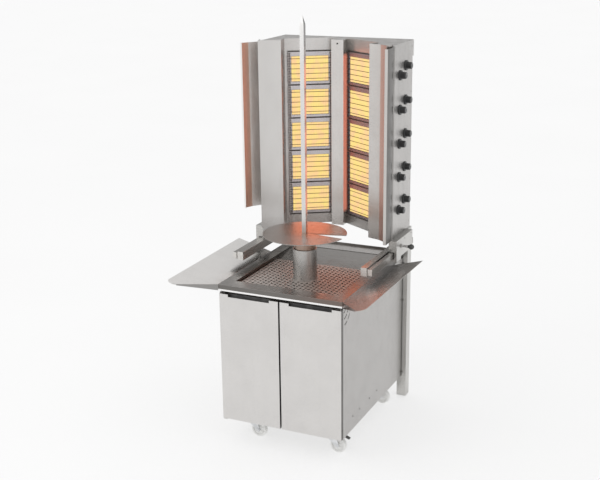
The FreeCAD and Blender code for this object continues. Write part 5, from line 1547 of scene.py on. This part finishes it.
# Floor, light and camera
@dataclass
class Studio:
    """Pale floor, soft light, the burners' warm light and the camera."""

    camera_at: Triple = (1.9867, -4.357, 2.368)
    azimuth: float = 25.04
    elevation: float = 16.72
    roll: float = -0.71
    lens: float = 64.63
    sensor: float = 36.0
    sky: float = 1.0
    glow: Triple = (1.0, 0.33, 0.17)
    glow_power: float = 0.10
    floor_glow: float = 0.62

    def floor(self) -> None:
        """Wide pale floor."""
        half = 60.0
        data = bpy.data.meshes.new("studio_floor")
        data.from_pydata([(-half, -half, 0.0), (half, -half, 0.0), (half, half, 0.0), (-half, half, 0.0)], [],
                         [(0, 1, 2, 3)])
        made = bpy.data.objects.new("studio_floor", data)
        bpy.context.scene.collection.objects.link(made)
        material, shade, shader, _ = principled("studio_floor")
        cloud = shade.noise(shade.place(), 0.8, 2.0)
        shade.feed(shader.inputs["Base Color"], shade.mix(cloud, (0.34, 0.34, 0.34), (0.36, 0.36, 0.36)))
        shade.feed(shader.inputs["Emission Color"], shade.mix(cloud, (0.99, 0.99, 0.99), (1.0, 1.0, 1.0)))
        shader.inputs["Emission Strength"].default_value = self.floor_glow
        shader.inputs["Roughness"].default_value = 0.9
        shader.inputs["Specular IOR Level"].default_value = 0.1
        data.materials.append(material)

    def world(self) -> None:
        """Soft surroundings: bright above and in front, and darker low down behind, for reflections only."""
        world = bpy.data.worlds.new("studio")
        bpy.context.scene.world = world
        world.use_nodes = True
        shade = Shading(world.node_tree)
        background = world.node_tree.nodes["Background"]
        direction = shade.add("ShaderNodeTexCoord").outputs["Generated"]
        split = shade.add("ShaderNodeSeparateXYZ")
        shade.feed(split.inputs[0], direction)
        behind = shade.remap(split.outputs[1], -0.2, 0.4)
        high = shade.remap(split.outputs[2], 0.22, 0.55)
        low_dark = shade.math("MULTIPLY", behind, shade.math("SUBTRACT", 1.0, high))
        level = shade.math("SUBTRACT", 1.0, shade.math("MULTIPLY", low_dark, 0.8))
        level = shade.math("MAXIMUM", level, shade.add("ShaderNodeLightPath").outputs["Is Camera Ray"])
        grey = shade.add("ShaderNodeCombineXYZ")
        for socket in grey.inputs:
            shade.feed(socket, level)
        shade.feed(background.inputs["Color"], grey.outputs[0])
        background.inputs["Strength"].default_value = self.sky

    def area(self, name: str, at: Triple, towards: Triple, size: Pair, power: float,
             colour: Triple = (1.0, 1.0, 1.0)) -> bpy.types.Object:
        """Soft rectangular light.

        Args:
            name: The light's name.
            at: Where it stands.
            towards: The point that it faces.
            size: Its width and height.
            power: Its power in watts.
            colour: Its colour.

        Returns:
            The light.
        """
        light = bpy.data.lights.new(name, "AREA")
        light.shape = "RECTANGLE"
        light.size, light.size_y = size
        light.energy = power
        light.color = colour
        made = bpy.data.objects.new(name, light)
        bpy.context.scene.collection.objects.link(made)
        made.matrix_world = stand_at(at, Vector(at) - Vector(towards), Z_AXIS.cross(Vector(at) - Vector(towards)))
        made.visible_camera = False
        return made

    def lights(self, burners: BurnerField) -> None:
        """Key and fill lights, and one warm light before each burner that moves with the head."""
        self.area("key_light", (-2.6, -3.2, 3.4), (0.0, 0.0, 0.9), (2.2, 2.2), 22.0)
        middle = (burners.window_start + burners.window_end) / 2
        size = (burners.window_end - burners.window_start, burners.window_high - burners.window_low)
        for side in SIDES:
            for row, z in enumerate(burners.middles(), start=1):
                level = z + (burners.window_high + burners.window_low) / 2
                at = PANEL.spot(side, middle, burners.strap_out + 0.001, level)
                aim = PANEL.spot(side, middle, 1.0, level)
                light = self.area(f"burner_light_{SIDE_NAMES[side]}_{row}", tuple(at), tuple(aim), size,
                                  self.glow_power, self.glow)
                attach(light, "head")

    def camera(self) -> None:
        """Camera at the photograph's place."""
        data = bpy.data.cameras.new("photo_camera")
        data.lens = self.lens
        data.sensor_width = self.sensor
        data.sensor_fit = "HORIZONTAL"
        made = bpy.data.objects.new("photo_camera", data)
        bpy.context.scene.collection.objects.link(made)
        a, e, r = (math.radians(value) for value in (self.azimuth, self.elevation, self.roll))
        right = Vector((math.cos(a), math.sin(a), 0.0))
        ahead = Vector((-math.sin(a) * math.cos(e), math.cos(a) * math.cos(e), -math.sin(e)))
        up = right.cross(ahead)
        across = right * math.cos(r) + up * math.sin(r)
        above = up * math.cos(r) - right * math.sin(r)
        matrix = Matrix((across, above, -ahead)).transposed().to_4x4()
        matrix.translation = Vector(self.camera_at)
        made.matrix_world = matrix
        bpy.context.scene.camera = made

    def build(self, burners: BurnerField) -> None:
        """Set up the whole studio."""
        scene = bpy.context.scene
        scene.view_settings.view_transform = "Standard"
        scene.cycles.use_denoising = True
        scene.cycles.denoising_input_passes = "RGB"
        self.camera()
        self.floor()
        self.world()
        self.lights(burners)


def main() -> None:
    """Build the grill's looks in order."""
    logging.basicConfig(level=logging.INFO, format="%(message)s")
    burners = BurnerField()
    Studio().build(burners)
    SheetWork().dress()
    burners.build()
    DripPlate().build()
    for number in range(1, 11):
        Knob(number).build()
    ClampHandle().build()
    for corner in ("front_left", "front_right", "rear_left", "rear_right"):
        Caster(corner).build()
    GearMotor().build()
    Slides().build()
    Fittings().build()


if __name__ == "__main__":
    main()
